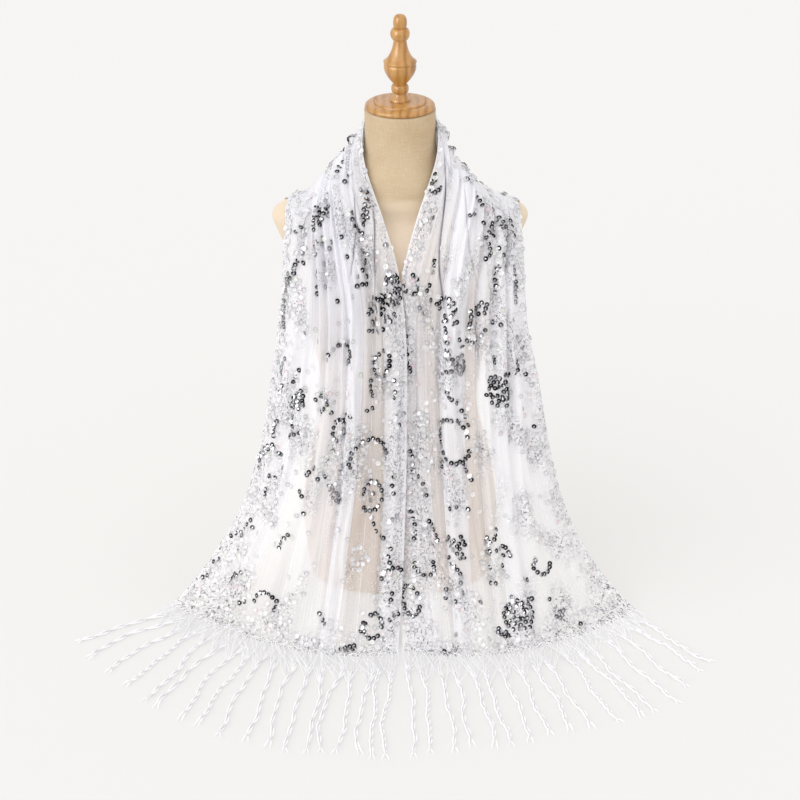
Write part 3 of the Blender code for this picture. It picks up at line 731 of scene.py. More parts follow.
def pleatHeight(stations, pleat, share):
    # |sin| to a power over each pleat, with its crest moved to 0.5 + 0.3 lean: power 1 makes sharp
    # valleys at the shoulder, power 2 makes soft ones below the chest.
    depth = pleatTable(stations, pleats["keys"], pleats["napeDepth"], (2, 3, 4))[:, pleat]
    lean = pleatTable(stations, (0, 3), 0.0, (5,))[:, pleat]
    crest = 0.5 + 0.3 * lean
    warped = np.where(share < crest, 0.5 * share / crest, 0.5 + 0.5 * (share - crest) / (1 - crest))
    power = np.interp(np.abs(stations), (1.5, 6.0), (1.0, 1.9))[:, None]
    return depth * np.abs(np.sin(np.pi * warped)) ** power


def gatherHeight(stations, across):
    # Sum of rounded folds, 1 - 2 sqrt(sin^2 + cut^2), each of its own pitch, that wander sideways
    # along the cloth and come and go in patches.
    random = np.random.default_rng(gathers["seed"])
    count = gathers["waves"]
    folds = np.linspace(gathers["fewest"], gathers["most"], count) + random.uniform(-1, 1, count)
    drift = random.uniform(-1, 1, count) * gathers["drift"]
    start = random.uniform(0, 1, count)
    sway = random.uniform(0.1, 0.4, count)
    swayPitch = random.uniform(0.5, 1.3, count)
    weight = (gathers["fewest"] / folds) ** 0.8
    weight /= np.sqrt(np.sum(weight**2))
    s, p = stations[:, None, None], across[..., None]
    phase = folds * p + drift * s + start + sway * np.sin(swayPitch * s + 6 * start + 4 * p)
    patch = 0.5 + 0.5 * np.sin(1.7 * s * swayPitch + 8 * p + 20 * start)
    fold = 1 - 2 * np.sqrt(np.sin(np.pi * phase) ** 2 + gathers["cut"]**2)
    wave = np.sum(weight * patch * fold, axis=-1)
    depth = np.interp(np.abs(stations), gathers["keys"], gathers["depths"])
    return wave * depth[:, None]


def creaseHeight(stations, across):
    # Each crease is a bell, e to the -(distance / half width)^2, across the cloth that follows a slightly wavy
    # line and fades out at its ends. A valley's bell times 0.55 + 0.35 sin also gives the painted shade inside
    # it.
    height, shade = np.zeros(across.shape), np.zeros(across.shape)
    for row in creases:
        crease = dict(zip(creaseColumns, row))
        s = stations * crease["side"]
        line = np.interp(s, (crease["start"], crease["end"]), (crease["from"], crease["to"]))
        line = line + 0.013 * np.sin(2.9 * s + 40 * crease["from"])
        fade = easeIn(s, crease["start"] - 0.5, crease["start"] + 0.4)
        fade *= 1 - easeIn(s, crease["end"] - 0.9, crease["end"] + 0.3)
        away = (across - line[:, None]) * stole["flatWidth"] / crease["halfWidth"]
        bell = fade[:, None] * np.exp(-away**2)
        height += crease["depth"] * bell
        uneven = 0.55 + 0.35 * np.sin(5.0 * s + 30 * crease["to"])
        shade += max(-crease["depth"], 0) / 0.011 * uneven[:, None] * bell
    return height, np.clip(shade, 0, 1)


def makeStole():
    # The smooth sheet between its edges, raised along its outward direction by all the folds.
    share = np.linspace(0, 1, stole["rowsFall"] + 1)
    fall = stole["shoulder"] + (hemStation - stole["shoulder"]) * share
    neck = np.linspace(-stole["shoulder"], stole["shoulder"], stole["rowsNeck"] + 1)
    stations = np.concatenate([-fall[:0:-1], neck, fall[1:]])
    borders = pleatBorders(stations)
    across = borders[:, columnPleat] * (1 - columnShare) + borders[:, columnPleat + 1] * columnShare
    flat = sheetPoints(stations, across)
    outward = gridNormals(flat)
    calm = easeIn(across, 0.0, 0.07) * (1 - 0.7 * easeIn(across, 0.95, 1.0))
    height = pleatHeight(stations, columnPleat, columnShare[None])
    creased, shade = creaseHeight(stations, across)
    height += (gatherHeight(stations, across) + creased) * calm
    points = liftOffForm(flat + outward * height[..., None], stole["clearance"])
    points[..., 2] = np.maximum(points[..., 2], floorGap)
    return stations, borders, across, flat, points, shade


stations, borders, across, flatGrid, clothGrid, paintedFoldShade = makeStole()
clothNormals = gridNormals(clothGrid)
rowLengths = np.linalg.norm(np.diff(flatGrid, axis=0), axis=-1).mean(axis=1)
along = np.concatenate([[0], np.cumsum(rowLengths)])
along -= along[np.searchsorted(stations, 0)]
shoulderLengths = {side: float(np.interp(side * stole["shoulder"], stations, along)) for side in (-1, 1)}
print(f"cloth from {along[0]:.3f} to {along[-1]:.3f} m along its middle, shoulders at {shoulderLengths}")

# fullness: flat cloth per metre of draped width
flatStep = np.gradient(across, axis=1) * stole["flatWidth"]
drapedStep = np.linalg.norm(np.gradient(flatGrid, axis=1), axis=-1)
fullness = flatStep / drapedStep


embroidery = {
    "lanePitch": 0.105,        # of the winding bands along the cloth
    "laneSwing": 0.30,
    "swingLength": 0.19,
    "patchLength": 0.16,       # along and across, of the patches that the bands break into
    "patchWidth": 0.21,
    "innerEdge": (0.020, 0.046),  # width of its band at the nape and down the falls
    "outerEdge": (0.060, 0.034),  # width of its band on the left and on the right
    "hemBand": 0.035,
    "plainEdge": (0.0030, 0.0055),
}
# Where a sprig is closer or the cloth is left plain: side, share of the width, length down from the
# shoulder, half width, half length, change of the field
stitchSpots = (
    (-1, 0.56, 0.265, 0.20, 0.075, -1.10), (-1, 0.30, 0.30, 0.07, 0.10, -0.90),
    (-1, 0.63, 0.60, 0.17, 0.075, -1.00), (-1, 0.37, 0.46, 0.13, 0.07, 0.70),
    (-1, 0.64, 0.43, 0.06, 0.035, 0.60), (-1, 0.84, 0.535, 0.05, 0.03, 0.60),
    (-1, 0.40, 0.625, 0.09, 0.055, -0.90), (1, 0.80, 0.11, 0.14, 0.07, 0.60),
    (1, 0.30, 0.12, 0.08, 0.05, -0.70), (1, 0.70, 0.27, 0.12, 0.05, 0.60),
    (1, 0.14, 0.54, 0.07, 0.12, 0.70),
)


def stitchField(u, v):
    # Where the embroidery lies: winding bands along the cloth, 0.5 + 0.5 cos, broken into patches (each
    # to the power 0.8), with close bands along both edges and above both hems, and a spot's change
    # times exp(-d^4), d the distance from its middle in half widths. The selvedge is left plain.
    u, v = np.broadcast_arrays(u, v)
    swing = embroidery["laneSwing"] * np.sin(2 * np.pi * v / embroidery["swingLength"] + 9 * u)
    lanes = 0.5 + 0.5 * np.cos(2 * np.pi * (u / embroidery["lanePitch"] + swing))
    drift = 2.0 * np.sin(2 * np.pi * u / embroidery["patchWidth"])
    patches = 0.5 + 0.5 * np.sin(2 * np.pi * v / embroidery["patchLength"] + 14 * u + drift)
    innerWidth = np.interp(np.abs(v), (0.25, 0.45), embroidery["innerEdge"])
    innerEdge = np.exp(-(u / innerWidth) ** 2)
    outerEdge = np.exp(-((stole["flatWidth"] - u) / np.where(v < 0, *embroidery["outerEdge"])) ** 2)
    toHem = np.where(v < 0, v - along[0], along[-1] - v)
    hemBand = np.exp(-(toHem / embroidery["hemBand"]) ** 2)
    field = lanes**0.8 * patches**0.8 * 1.15
    for side, share, down, halfShare, halfDown, change in stitchSpots:
        beside = (u / stole["flatWidth"] - share) / halfShare
        below = (v - shoulderLengths[side] - side * down) / halfDown
        field = np.maximum(field + change * np.exp(-(beside**2 + below**2) ** 2), 0)
    field = np.clip(field + 0.9 * innerEdge + 0.7 * outerEdge + 0.9 * hemBand, 0, 1)
    return field * easeIn(u, *embroidery["plainEdge"])


cover = {
    "oneLayer": 0.45,          # share of the view that one flat layer's threads cover
    "selvedge": 1.3,           # extra layers in the turned edges, 3 mm wide; the inner one fades down a fall
    "hemFade": 0.4,            # how much of the veil is gone at the hem, where the fringe takes over
    "foldEdge": 0.9,           # extra layers on the line where two pleats meet
}


def veilShare():
    # Thread cover 1 - (1 - c)^k: c for one flat layer, k for how many layers' worth of thread there is,
    # the pleats' own number x fullness^0.8 x slope^0.4, plus what the edges and borders add.
    full = np.linalg.norm(np.gradient(clothGrid, axis=1), axis=-1)
    slope = np.clip(full / drapedStep, 0.6, 2.6)
    layers = pleatTable(stations, pleats["layerKeys"], pleats["napeLayers"], (6, 7, 8, 9))
    layers = layers[:, columnPleat] * fullness**0.8 * slope**0.4
    atBorder = (columnShare < 0.03) & (columnPlaces > 0.5)
    layers += cover["foldEdge"] * atBorder[None] * easeIn(np.abs(stations), 2.5, 4.5)[:, None]
    faded = 1 - 0.75 * easeIn(np.abs(stations), 4.2, 5.5)[:, None]
    layers += cover["selvedge"] * (faded * (1 - easeIn(across, 0.006, 0.010)) + easeIn(across, 0.990, 0.994))
    layers *= 1 - cover["hemFade"] * easeIn(np.abs(stations), hemStation - 0.5, hemStation)[:, None]
    return 1 - (1 - cover["oneLayer"]) ** layers


veil = veilShare()
flatAcross = across * stole["flatWidth"]
clothUv = np.stack(np.broadcast_arrays(flatAcross, along[:, None]), axis=-1)
stitch = stitchField(flatAcross, along[:, None])

firstNeck = stole["rowsFall"]
lastNeck = firstNeck + stole["rowsNeck"]
stretches = {
    "clothLeft": (slice(0, firstNeck + 1), "stole_fall_left", "left_mesh_cloth"),
    "clothNape": (slice(firstNeck, lastNeck + 1), "stole_neck", "neck_mesh_cloth"),
    "clothRight": (slice(lastNeck, None), "stole_fall_right", "right_mesh_cloth"),
}
for name, (rows, cadNode, slotName) in stretches.items():
    part = clothGrid[rows]
    piece = putPiece(name, part.reshape(-1, 3), gridFaces(*part.shape[:2]), makeMesh(name + "Mesh"),
                     uv=clothUv[rows].reshape(-1, 2), values={"veil": veil[rows], "stitch": stitch[rows],
                                                     "shade": paintedFoldShade[rows]},
                     normals=clothNormals[rows])
    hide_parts(cadNode)


sequin = {
    "radius": 0.0039,
    "sides": 9,
    # cup profile: share of the radius, height above the cloth, and how dark its painted ring is there from 0
    # to 1
    "silverCup": ((0.10, 0.0008, 0.0), (0.23, 0.0008, 0.0), (0.32, 0.0008, 1.0), (1.00, 0.0012, 1.0)),
    "pearlCup": ((0.20, 0.0007, 0.0), (0.52, 0.0006, 0.4), (1.00, 0.0012, 1.0)),
    "spacing": 0.0086,         # along a loose chain
    "overlap": 0.0058,         # where they lie on each other like scales
    "edge": 0.004,             # the border of the cloth that stays free of them
    "lean": 0.40,              # of overlapping ones, towards the next
    "tilt": 0.18,
    "gap": 0.56,               # how far the painted dark ring gives way to a painted highlight on one side
    "scatter": (0.0006, 0.0009),  # how far each strays from its place, and how much more in a rosette
    "missing": (0.05, 0.16),   # share of a motif that isn't there, and how much more of a rosette
    "fullest": 2.4,            # fullness that a motif's steps are widened by at most
    "pearlShare": 0.44,        # of the pearl sites where the embroidery is closest
    "pearlEdge": 0.005,
    "seed": 21,
}


def clothPlace(u, v):
    # Row by the length along the cloth, and column by the pleat whose borders the width share is between.
    row = np.interp(v, along, np.arange(len(along)))
    low = np.clip(row.astype(int), 0, len(along) - 2)
    part = (row - low)[:, None]
    border = borders[low] * (1 - part) + borders[low + 1] * part
    share = np.clip(u / stole["flatWidth"], 0, 1)
    pleat = np.clip(np.sum(border <= share[:, None], axis=1) - 1, 0, pleatCount - 1)
    each = np.arange(len(u))
    start, end = border[each, pleat], border[each, pleat + 1]
    return row, np.interp(pleat + (share - start) / (end - start), columnPlaces, np.arange(len(columnPlaces)))


def readCloth(values, row, column):
    # Bilinear reading of a grid of values.
    low = np.clip(row.astype(int), 0, values.shape[0] - 2)
    left = np.clip(column.astype(int), 0, values.shape[1] - 2)
    r, c = (row - low)[:, None], (column - left)[:, None]
    values = values.reshape(*values.shape[:2], -1)
    return (values[low, left] * (1 - r) * (1 - c) + values[low + 1, left] * r * (1 - c)
            + values[low, left + 1] * (1 - r) * c + values[low + 1, left + 1] * r * c)


def chain(path, spacing):
    # Points every spacing along a curve.
    lengths = runningLength(path)
    count = max(2, int(lengths[-1] / spacing) + 1)
    places = np.linspace(0, lengths[-1], count)
    return np.stack([np.interp(places, lengths, path[:, k]) for k in (0, 1)], axis=1)


def onCloth(u, v):
    # Whether a place is on the cloth and off its border.
    edge = sequin["edge"]
    return (u > edge) & (u < stole["flatWidth"] - edge) & (v > along[0] + edge) & (v < along[-1] - edge)


def bentLine(size):
    # From -size to size, bent aside by 0.16 of the size times the place squared.
    t = np.linspace(-1, 1, 30)
    return size * np.stack([t, 0.16 * t**2], axis=1)


def loose(size):
    # A loose chain along the bent line.
    return chain(bentLine(size), sequin["spacing"])


def tight(size):
    # An overlapping chain along the bent line.
    return chain(bentLine(size), sequin["overlap"])


def scales(size):
    # Two overlapping chains side by side, one half a step on.
    line = tight(size)
    return np.concatenate([line, line[:-1] + (0.5 * sequin["overlap"], 0.0064)])


def arc(size):
    # Three fifths of a circle.
    turn = np.linspace(-0.6, 0.6, 40) * np.pi
    return chain(size * np.stack([np.cos(turn) - 0.4, np.sin(turn)], axis=1), 0.8 * sequin["spacing"])


def ring(size):
    # An oval chain, 0.8 and 1.2 of the size, with a gap of a tenth.
    turn = np.linspace(0.3, 5.95, 60)
    return chain(size * np.stack([0.8 * np.cos(turn), 1.2 * np.sin(turn)], axis=1), 0.8 * sequin["spacing"])


def rosette(size):
    # A middle sequin and rings of overlapping ones round it.
    pitch = sequin["overlap"] * 1.28
    rings = [np.zeros((1, 2))]
    for number in range(1, int(round(size / pitch)) + 1):
        turn = 2 * np.pi * (np.arange(6 * number) / (6 * number) + 0.3 * number)
        rings.append(number * pitch * np.stack([np.cos(turn), np.sin(turn)], axis=1))
    return np.concatenate(rings)


def bud(size):
    # A few at the golden angle, at a distance of the size times the root of their share.
    count = max(4, int(round((size / 0.0043) ** 2)))
    k = np.arange(count)
    turn, reach = 2.4 * k, size * np.sqrt((k + 0.4) / count)
    return np.stack([reach * np.cos(turn), reach * np.sin(turn)], axis=1)


def pair(size):
    # Two, a spacing apart, at any size.
    return np.array([(-0.5, 0.0), (0.5, 0.05)]) * sequin["spacing"]


def dot(size):
    # One alone, at any size.
    return np.zeros((1, 2))


motifShapes = {"row": loose, "tight": tight, "scales": scales, "arc": arc, "ring": ring, "rosette": rosette,
               "bud": bud, "pair": pair, "dot": dot}
overlapping = ("tight", "scales", "rosette", "bud")

# Silver motifs: kind, share of the width from the inner edge in hundredths, millimetres along from the
# shoulder's top or the middle of the nape, turn in degrees, size in millimetres. A pair has no size, and a
# dot no turn either.
silverMotifs = {
    -1: (
        ("row", 32, 30, 110, 9), ("pair", 24, 60, 120), ("pair", 48, 60, 120), ("scales", 50, 80, 120, 9),
        ("scales", 60, 80, 100, 15), ("scales", 60, 120, 125, 12), ("tight", 80, 70, 150, 7), ("dot", 72, 90),
        ("bud", 76, 110, 140, 9), ("tight", 84, 130, 105, 9), ("dot", 76, 130), ("pair", 88, 150, 110),
        ("row", 96, 180, 95, 44), ("row", 64, 170, 105, 16), ("dot", 48, 210), ("dot", 72, 240),
        ("row", 24, 120, 95, 9), ("dot", 36, 130), ("pair", 48, 130, 120), ("dot", 34, 160),
        ("tight", 8, 100, 50, 7), ("scales", 12, 120, 125, 12), ("bud", 18, 140, 0, 9),
        ("row", 20, 160, 100, 7), ("tight", 20, 180, 120, 7), ("bud", 26, 200, 0, 12), ("dot", 4, 180),
        ("scales", 8, 220, 120, 7), ("rosette", 4, 230, 0, 13), ("tight", 16, 240, 30, 9),
        ("rosette", 16, 260, 0, 22), ("scales", 4, 250, 135, 9), ("row", 90, 290, 105, 13),
        ("pair", 88, 330, 100), ("row", 80, 310, 115, 10), ("scales", 80, 350, 115, 12),
        ("scales", 74, 350, 95, 15), ("arc", 56, 360, 150, 12), ("dot", 50, 380), ("tight", 80, 380, 95, 21),
        ("pair", 76, 400, 90), ("tight", 76, 410, 150, 9), ("tight", 90, 400, 95, 13),
        ("tight", 88, 440, 55, 10), ("dot", 84, 450), ("scales", 97, 450, 120, 18), ("dot", 96, 480),
        ("dot", 88, 490), ("dot", 80, 470), ("dot", 84, 490), ("pair", 88, 520, 85),
        ("arc", 44, 290, 120, 19), ("bud", 40, 390, 135, 10), ("ring", 44, 410, 0, 13), ("dot", 46, 440),
        ("arc", 24, 450, 90, 27), ("tight", 60, 470, 135, 10), ("pair", 64, 510, 50), ("pair", 52, 480, 160),
        ("pair", 40, 470, 100), ("scales", 44, 510, 55, 16), ("ring", 16, 330, 0, 15),
        ("row", 24, 360, 80, 13), ("pair", 24, 390, 0), ("dot", 8, 360), ("pair", 8, 380, 100),
        ("row", 4, 420, 120, 7), ("row", 8, 510, 90, 12), ("ring", 20, 520, 0, 18), ("bud", 20, 520, 0, 9),
        ("row", 16, 570, 60, 19), ("tight", 8, 560, 135, 9), ("row", 97, 620, 130, 19),
        ("row", 92, 600, 95, 21), ("dot", 88, 590), ("pair", 97, 670, 120), ("pair", 97, 700, 120),
        ("bud", 86, 680, 0, 7), ("pair", 84, 670, 120), ("arc", 68, 690, 100, 16), ("pair", 78, 710, 140),
        ("tight", 40, 700, 50, 9), ("dot", 32, 750), ("scales", 26, 740, 160, 10), ("row", 68, 590, 110, 13),
        ("dot", 60, 540), ("tight", 20, 710, 100, 7), ("ring", 14, 710, 0, 16), ("row", 8, 610, 90, 10),
        ("pair", 6, 670, 100), ("tight", 4, 700, 150, 7), ("arc", 4, 640, 120, 18),
    ),
    1: (
        ("tight", 4, 90, 90, 6), ("tight", 8, 100, 135, 9), ("dot", 12, 130), ("row", 20, 200, 95, 22),
        ("pair", 34, 50, 140), ("tight", 44, 90, 135, 6), ("dot", 54, 90), ("tight", 52, 60, 60, 6),
        ("dot", 64, 60), ("dot", 64, 80), ("scales", 78, 70, 55, 13), ("tight", 88, 60, 60, 9),
        ("bud", 64, 90, 0, 7), ("tight", 62, 110, 60, 13), ("pair", 74, 110, 50), ("pair", 62, 130, 120),
        ("tight", 72, 140, 120, 6), ("dot", 82, 130), ("row", 72, 160, 80, 13), ("row", 92, 150, 85, 30),
        ("pair", 88, 210, 170), ("row", 92, 250, 65, 15), ("dot", 92, 300), ("dot", 86, 360),
        ("dot", 92, 390), ("arc", 8, 230, 30, 13), ("pair", 16, 250, 40), ("pair", 24, 230, 0),
        ("rosette", 34, 230, 0, 16), ("tight", 34, 270, 85, 21), ("rosette", 40, 300, 0, 18),
        ("pair", 44, 270, 60), ("pair", 32, 320, 135), ("tight", 52, 230, 95, 12),
        ("scales", 60, 210, 120, 13), ("pair", 60, 240, 120), ("pair", 72, 220, 0),
        ("tight", 52, 260, 150, 7), ("rosette", 68, 330, 0, 25), ("arc", 76, 290, 90, 19),
        ("pair", 34, 350, 60), ("row", 42, 370, 55, 21), ("ring", 36, 420, 0, 28), ("tight", 42, 460, 60, 15),
        ("pair", 28, 460, 110), ("row", 16, 500, 70, 13), ("row", 10, 560, 85, 19),
        ("tight", 20, 560, 60, 13), ("pair", 32, 520, 160), ("dot", 40, 520), ("scales", 32, 580, 60, 17),
        ("bud", 34, 570, 0, 10), ("tight", 30, 610, 60, 15), ("row", 32, 640, 90, 8),
        ("tight", 24, 650, 100, 7), ("dot", 28, 660), ("scales", 52, 565, 120, 14),
        ("tight", 52, 585, 165, 14), ("bud", 58, 590, 0, 9), ("dot", 54, 610), ("dot", 48, 610),
        ("pair", 48, 635, 0), ("pair", 64, 640, 0), ("row", 8, 310, 85, 12), ("bud", 8, 340, 0, 7),
        ("ring", 6, 670, 0, 18), ("pair", 12, 740, 0), ("pair", 20, 740, 30), ("dot", 26, 710),
        ("rosette", 56, 690, 0, 19), ("scales", 48, 710, 50, 9), ("pair", 64, 670, 0), ("dot", 56, 660),
        ("dot", 60, 720), ("dot", 72, 680), ("bud", 74, 710, 0, 12), ("arc", 74, 630, 120, 15),
        ("arc", 14, 620, 80, 15), ("dot", 40, 660), ("row", 10, 470, 80, 13), ("pair", 80, 730, 140),
    ),
}
napeMotifs = {
    -1: (
        ("row", 16, 20, 60, 18), ("tight", 10, 70, 120, 9), ("rosette", 34, 105, 0, 12), ("pair", 28, 50, 20),
        ("scales", 48, 15, 150, 14), ("arc", 52, 75, 60, 20), ("dot", 58, 45), ("bud", 70, 30, 0, 9),
        ("row", 84, 75, 70, 22), ("pair", 92, 20, 90), ("tight", 74, 130, 50, 13), ("arc", 46, 150, 200, 15),
        ("row", 94, 130, 84, 18), ("dot", 62, 110), ("scales", 20, 140, 40, 10),
    ),
    1: (
        ("scales", 8, 40, 100, 12), ("bud", 22, 75, 0, 10), ("row", 36, 35, 130, 15), ("dot", 30, 110),
        ("tight", 44, 110, 60, 14), ("ring", 66, 85, 0, 15), ("pair", 60, 30, 160),
        ("scales", 80, 30, 40, 14), ("row", 95, 65, 88, 24), ("dot", 84, 100), ("arc", 22, 150, 20, 14),
        ("rosette", 58, 150, 0, 11), ("row", 86, 150, 80, 20), ("pair", 40, 155, 100), ("dot", 12, 110),
    ),
}


def placeMotifs(table, side, random, start):
    # Each motif turned and moved to its place; its steps across are widened by the cloth's fullness there.
    # Overlapping ones lean along the motif, one motif in twelve has paler painted rings, and some sequins are
    # missing.
    placed, leans, tones = [], [], []
    for kind, share, down, *others in table:
        turn, size = (*others, 0, 0)[:2]
        spots = motifShapes[kind](size / 1000)
        if kind == "rosette":
            spots = spots[random.uniform(0, 1, len(spots)) > sequin["missing"][1]]
            spots = spots + random.normal(0, sequin["scatter"][1], spots.shape)
        c, s = math.cos(math.radians(turn)), math.sin(math.radians(turn))
        spots = spots @ np.array([[c, s], [-s, c]])
        middle = np.array([share / 100 * stole["flatWidth"], start + side * down / 1000])
        gathered = readCloth(fullness, *clothPlace(middle[:1], middle[1:]))[0, 0]
        placed.append(middle + spots * (min(gathered, sequin["fullest"]), 1))
        lean = sequin["lean"] if kind in overlapping else 0
        leans.append(np.tile((lean * c, lean * s), (len(spots), 1)))
        tones.append(np.full(len(spots), 1.0 if random.uniform() < 0.92 else 0.7))
    placed, leans, tones = np.concatenate(placed), np.concatenate(leans), np.concatenate(tones)
    placed += random.normal(0, sequin["scatter"][0], placed.shape)
    kept = onCloth(*placed.T) & (random.uniform(0, 1, len(placed)) > sequin["missing"][0])
    return placed[kept], leans[kept], tones[kept]


def cupSequins(name, places, leans, profile, material, random, shade, tint):
    # A cup is its profile carried round; each is set on the cloth, leaned, tipped a little and spun.
    # Its painted dark ring clears into a painted highlight towards one side by the cosine to the power 4 of
    # the angle from there.
    row, column = clothPlace(*places.T)
    middle = readCloth(clothGrid, row, column)
    normal = unit(readCloth(clothNormals, row, column))
    side = unit(np.cross(normal, (0.0, 0.0, 1.0)))
    down = np.cross(side, normal)
    tilt = random.normal(0, sequin["tilt"], middle.shape)
    normal = unit(normal + side * leans[:, :1] + down * leans[:, 1:] + tilt)
    first = unit(side - normal * np.sum(side * normal, axis=1, keepdims=True))
    second = np.cross(normal, first)
    spin = random.uniform(0, 2 * np.pi, len(middle))[:, None, None]
    turns = spin + (2 * np.pi * np.arange(sequin["sides"]) / sequin["sides"])[None, None]
    share, height, dark = np.array(profile).T[:, None, :, None]
    radius = sequin["radius"] * share * random.uniform(0.93, 1.05, len(middle))[:, None, None]
    middle = middle + normal * random.uniform(0, 0.0005, (len(middle), 1))
    points = (middle[:, None, None] + first[:, None, None] * (radius * np.cos(turns))[..., None]
              + second[:, None, None] * (radius * np.sin(turns))[..., None]
              + normal[:, None, None] * (height + 0 * turns)[..., None])
    rings, sides = len(profile), sequin["sides"]
    # the ring is painted dark as a painted reflection and cleared on one side into a painted highlight
    paintedHighlightTurn = random.normal(0.8, 0.5, len(middle))[:, None, None]
    clear = sequin["gap"] * np.maximum(np.cos(turns - paintedHighlightTurn), 0) ** 4
    rim = (dark * shade[:, None, None] * (1 - clear)).ravel()
    points = points.reshape(-1, 3)
    points[:, 2] = np.maximum(points[:, 2], floorGap)
    faces = repeatedFaces(gridFaces(rings, sides, closed=True), rings * sides, len(middle))
    return putPiece(name, points, faces, material,
                    values={"rim": rim, "tint": np.repeat(tint, rings * sides)})


def pearlPlaces(start, end, share, random):
    # Sites on a loose grid, each kept by a chance of share x field + 0.025, less where the cloth is full.
    pitch = sequin["spacing"] * 0.92
    low, high = sorted((start, end))
    columns = np.arange(sequin["pearlEdge"], stole["flatWidth"] - sequin["edge"], pitch)
    u, v = np.meshgrid(columns, np.arange(low, high, pitch))
    u = u + 0.5 * pitch * (np.arange(len(u))[:, None] % 2)
    u = (u + random.normal(0, 0.0012, u.shape)).ravel()
    v = (v + random.normal(0, 0.0012, v.shape)).ravel()
    inside = onCloth(u, v)
    u, v = u[inside], v[inside]
    gathered = readCloth(fullness, *clothPlace(u, v))[:, 0]
    keep = random.uniform(0, 1, len(u)) < (share * stitchField(u, v) + 0.025) / np.maximum(gathered, 1) ** 0.6
    return np.stack([u, v], axis=1)[keep]


def besideSilver(places, random):
    # A pearl beside a quarter of the silver ones, 1.1 spacings away in any direction.
    chosen = places[random.uniform(0, 1, len(places)) < 0.25]
    turn = random.uniform(0, 2 * np.pi, len(chosen))
    beside = chosen + 1.1 * sequin["spacing"] * np.stack([np.cos(turn), np.sin(turn)], axis=1)
    edge = sequin["pearlEdge"]
    beside[:, 0] = np.clip(beside[:, 0], edge, stole["flatWidth"] - edge)
    beside[:, 1] = np.clip(beside[:, 1], along[0] + edge, along[-1] - edge)
    return beside


def putSequins(sideName, silverPlaces, leans, tones, pearlSpots, slotName, random):
    # Both kinds on one stretch of cloth; one silver ring in fourteen is painted about a third as dark, a
    # painted highlight.
    bright = np.where(random.uniform(0, 1, len(silverPlaces)) < 0.93, 1.0, 0.35)
    cupSequins("silverSequins" + sideName, silverPlaces, leans, sequin["silverCup"], silver, random,
               tones * bright * random.uniform(0.9, 1, len(bright)), random.uniform(0, 1, len(bright)))
    beside = besideSilver(silverPlaces, random)
    pearlSpots = np.concatenate([pearlSpots, beside])
    count = len(pearlSpots)
    # how dark each pearl's painted ring is; about one in six has almost none
    paintedRingDarkness = np.where(random.uniform(0, 1, count) < 0.16, 0.05, random.uniform(0.25, 1, count))
    cupSequins("pearlSequins" + sideName, pearlSpots, np.zeros((count, 2)), sequin["pearlCup"], pearl,
               random, paintedRingDarkness, random.uniform(0, 1, count))


silver, pearl = makeSilver(), makePearl()
sequinRandom = np.random.default_rng(sequin["seed"])
sequinSides = {"Left": (-1, along[0], "left_mesh_cloth"), "Right": (1, along[-1], "right_mesh_cloth")}
for sideName, (side, hemLength, slotName) in sequinSides.items():
    start = shoulderLengths[side]
    motifs = placeMotifs(silverMotifs[side], side, sequinRandom, start)
    pearls = pearlPlaces(start, hemLength, sequin["pearlShare"], sequinRandom)
    putSequins(sideName, *motifs, pearls, slotName, sequinRandom)
halves = [placeMotifs(napeMotifs[side], side, sequinRandom, 0.0) for side in (-1, 1)]
motifs = [np.concatenate(values) for values in zip(*halves)]
napePearls = pearlPlaces(shoulderLengths[-1], shoulderLengths[1], sequin["pearlShare"], sequinRandom)
putSequins("Nape", *motifs, napePearls, "neck_mesh_cloth", sequinRandom)


fringe = {
    "seed": 7,
    "left": {"count": 18, "tips": ((-0.008, -0.512), (-0.088, -0.509), (-0.172, -0.497), (-0.292, -0.436),
                                   (-0.398, -0.345), (-0.496, -0.212))},
    "right": {"count": 17, "tips": ((0.014, -0.515), (0.094, -0.492), (0.190, -0.472), (0.296, -0.436),
                                    (0.396, -0.378), (0.468, -0.262))},
    "tipScatter": 0.007,
    "bow": 0.008,
    "wave": 0.0042,            # sideways swing of the long S in each tassel
    "ripple": 0.0016,          # and of its two smaller waves
    "quiver": 0.0006,
    "lead": 0.022,             # how far inwards a tassel's root is drawn, so that it leaves aslant
    "gather": 0.040,           # from the hem to where the yarns of a tassel meet
    "yarns": 14,               # that run together into each tassel
    "reach": 2.6,              # tassel pitches that its yarns spread over, so that neighbours cross
    "above": 0.009,            # how far above the hem the yarns are knotted in
    "yarnRadius": 0.00048,
    "plyRadius": 0.00125,
    "twistPitch": 0.038,
    "steps": 84,
    "sides": 6,
    "yarnSteps": 20,
    "yarnSides": 4,
    "meetHeight": 0.0026,      # of the yarns where they join the tassel
    "yarnLift": (0.0012, 0.0020),  # off the cloth, and how much more the highest one arches
    "yarnSwing": 0.0034,
}


def placeOnRow(row, shares):
    # Points of a row of the cloth at the given shares of its length in plan.
    lengths = runningLength(row[:, :2])
    return np.stack([np.interp(shares, lengths / lengths[-1], row[:, k]) for k in range(3)], axis=-1)


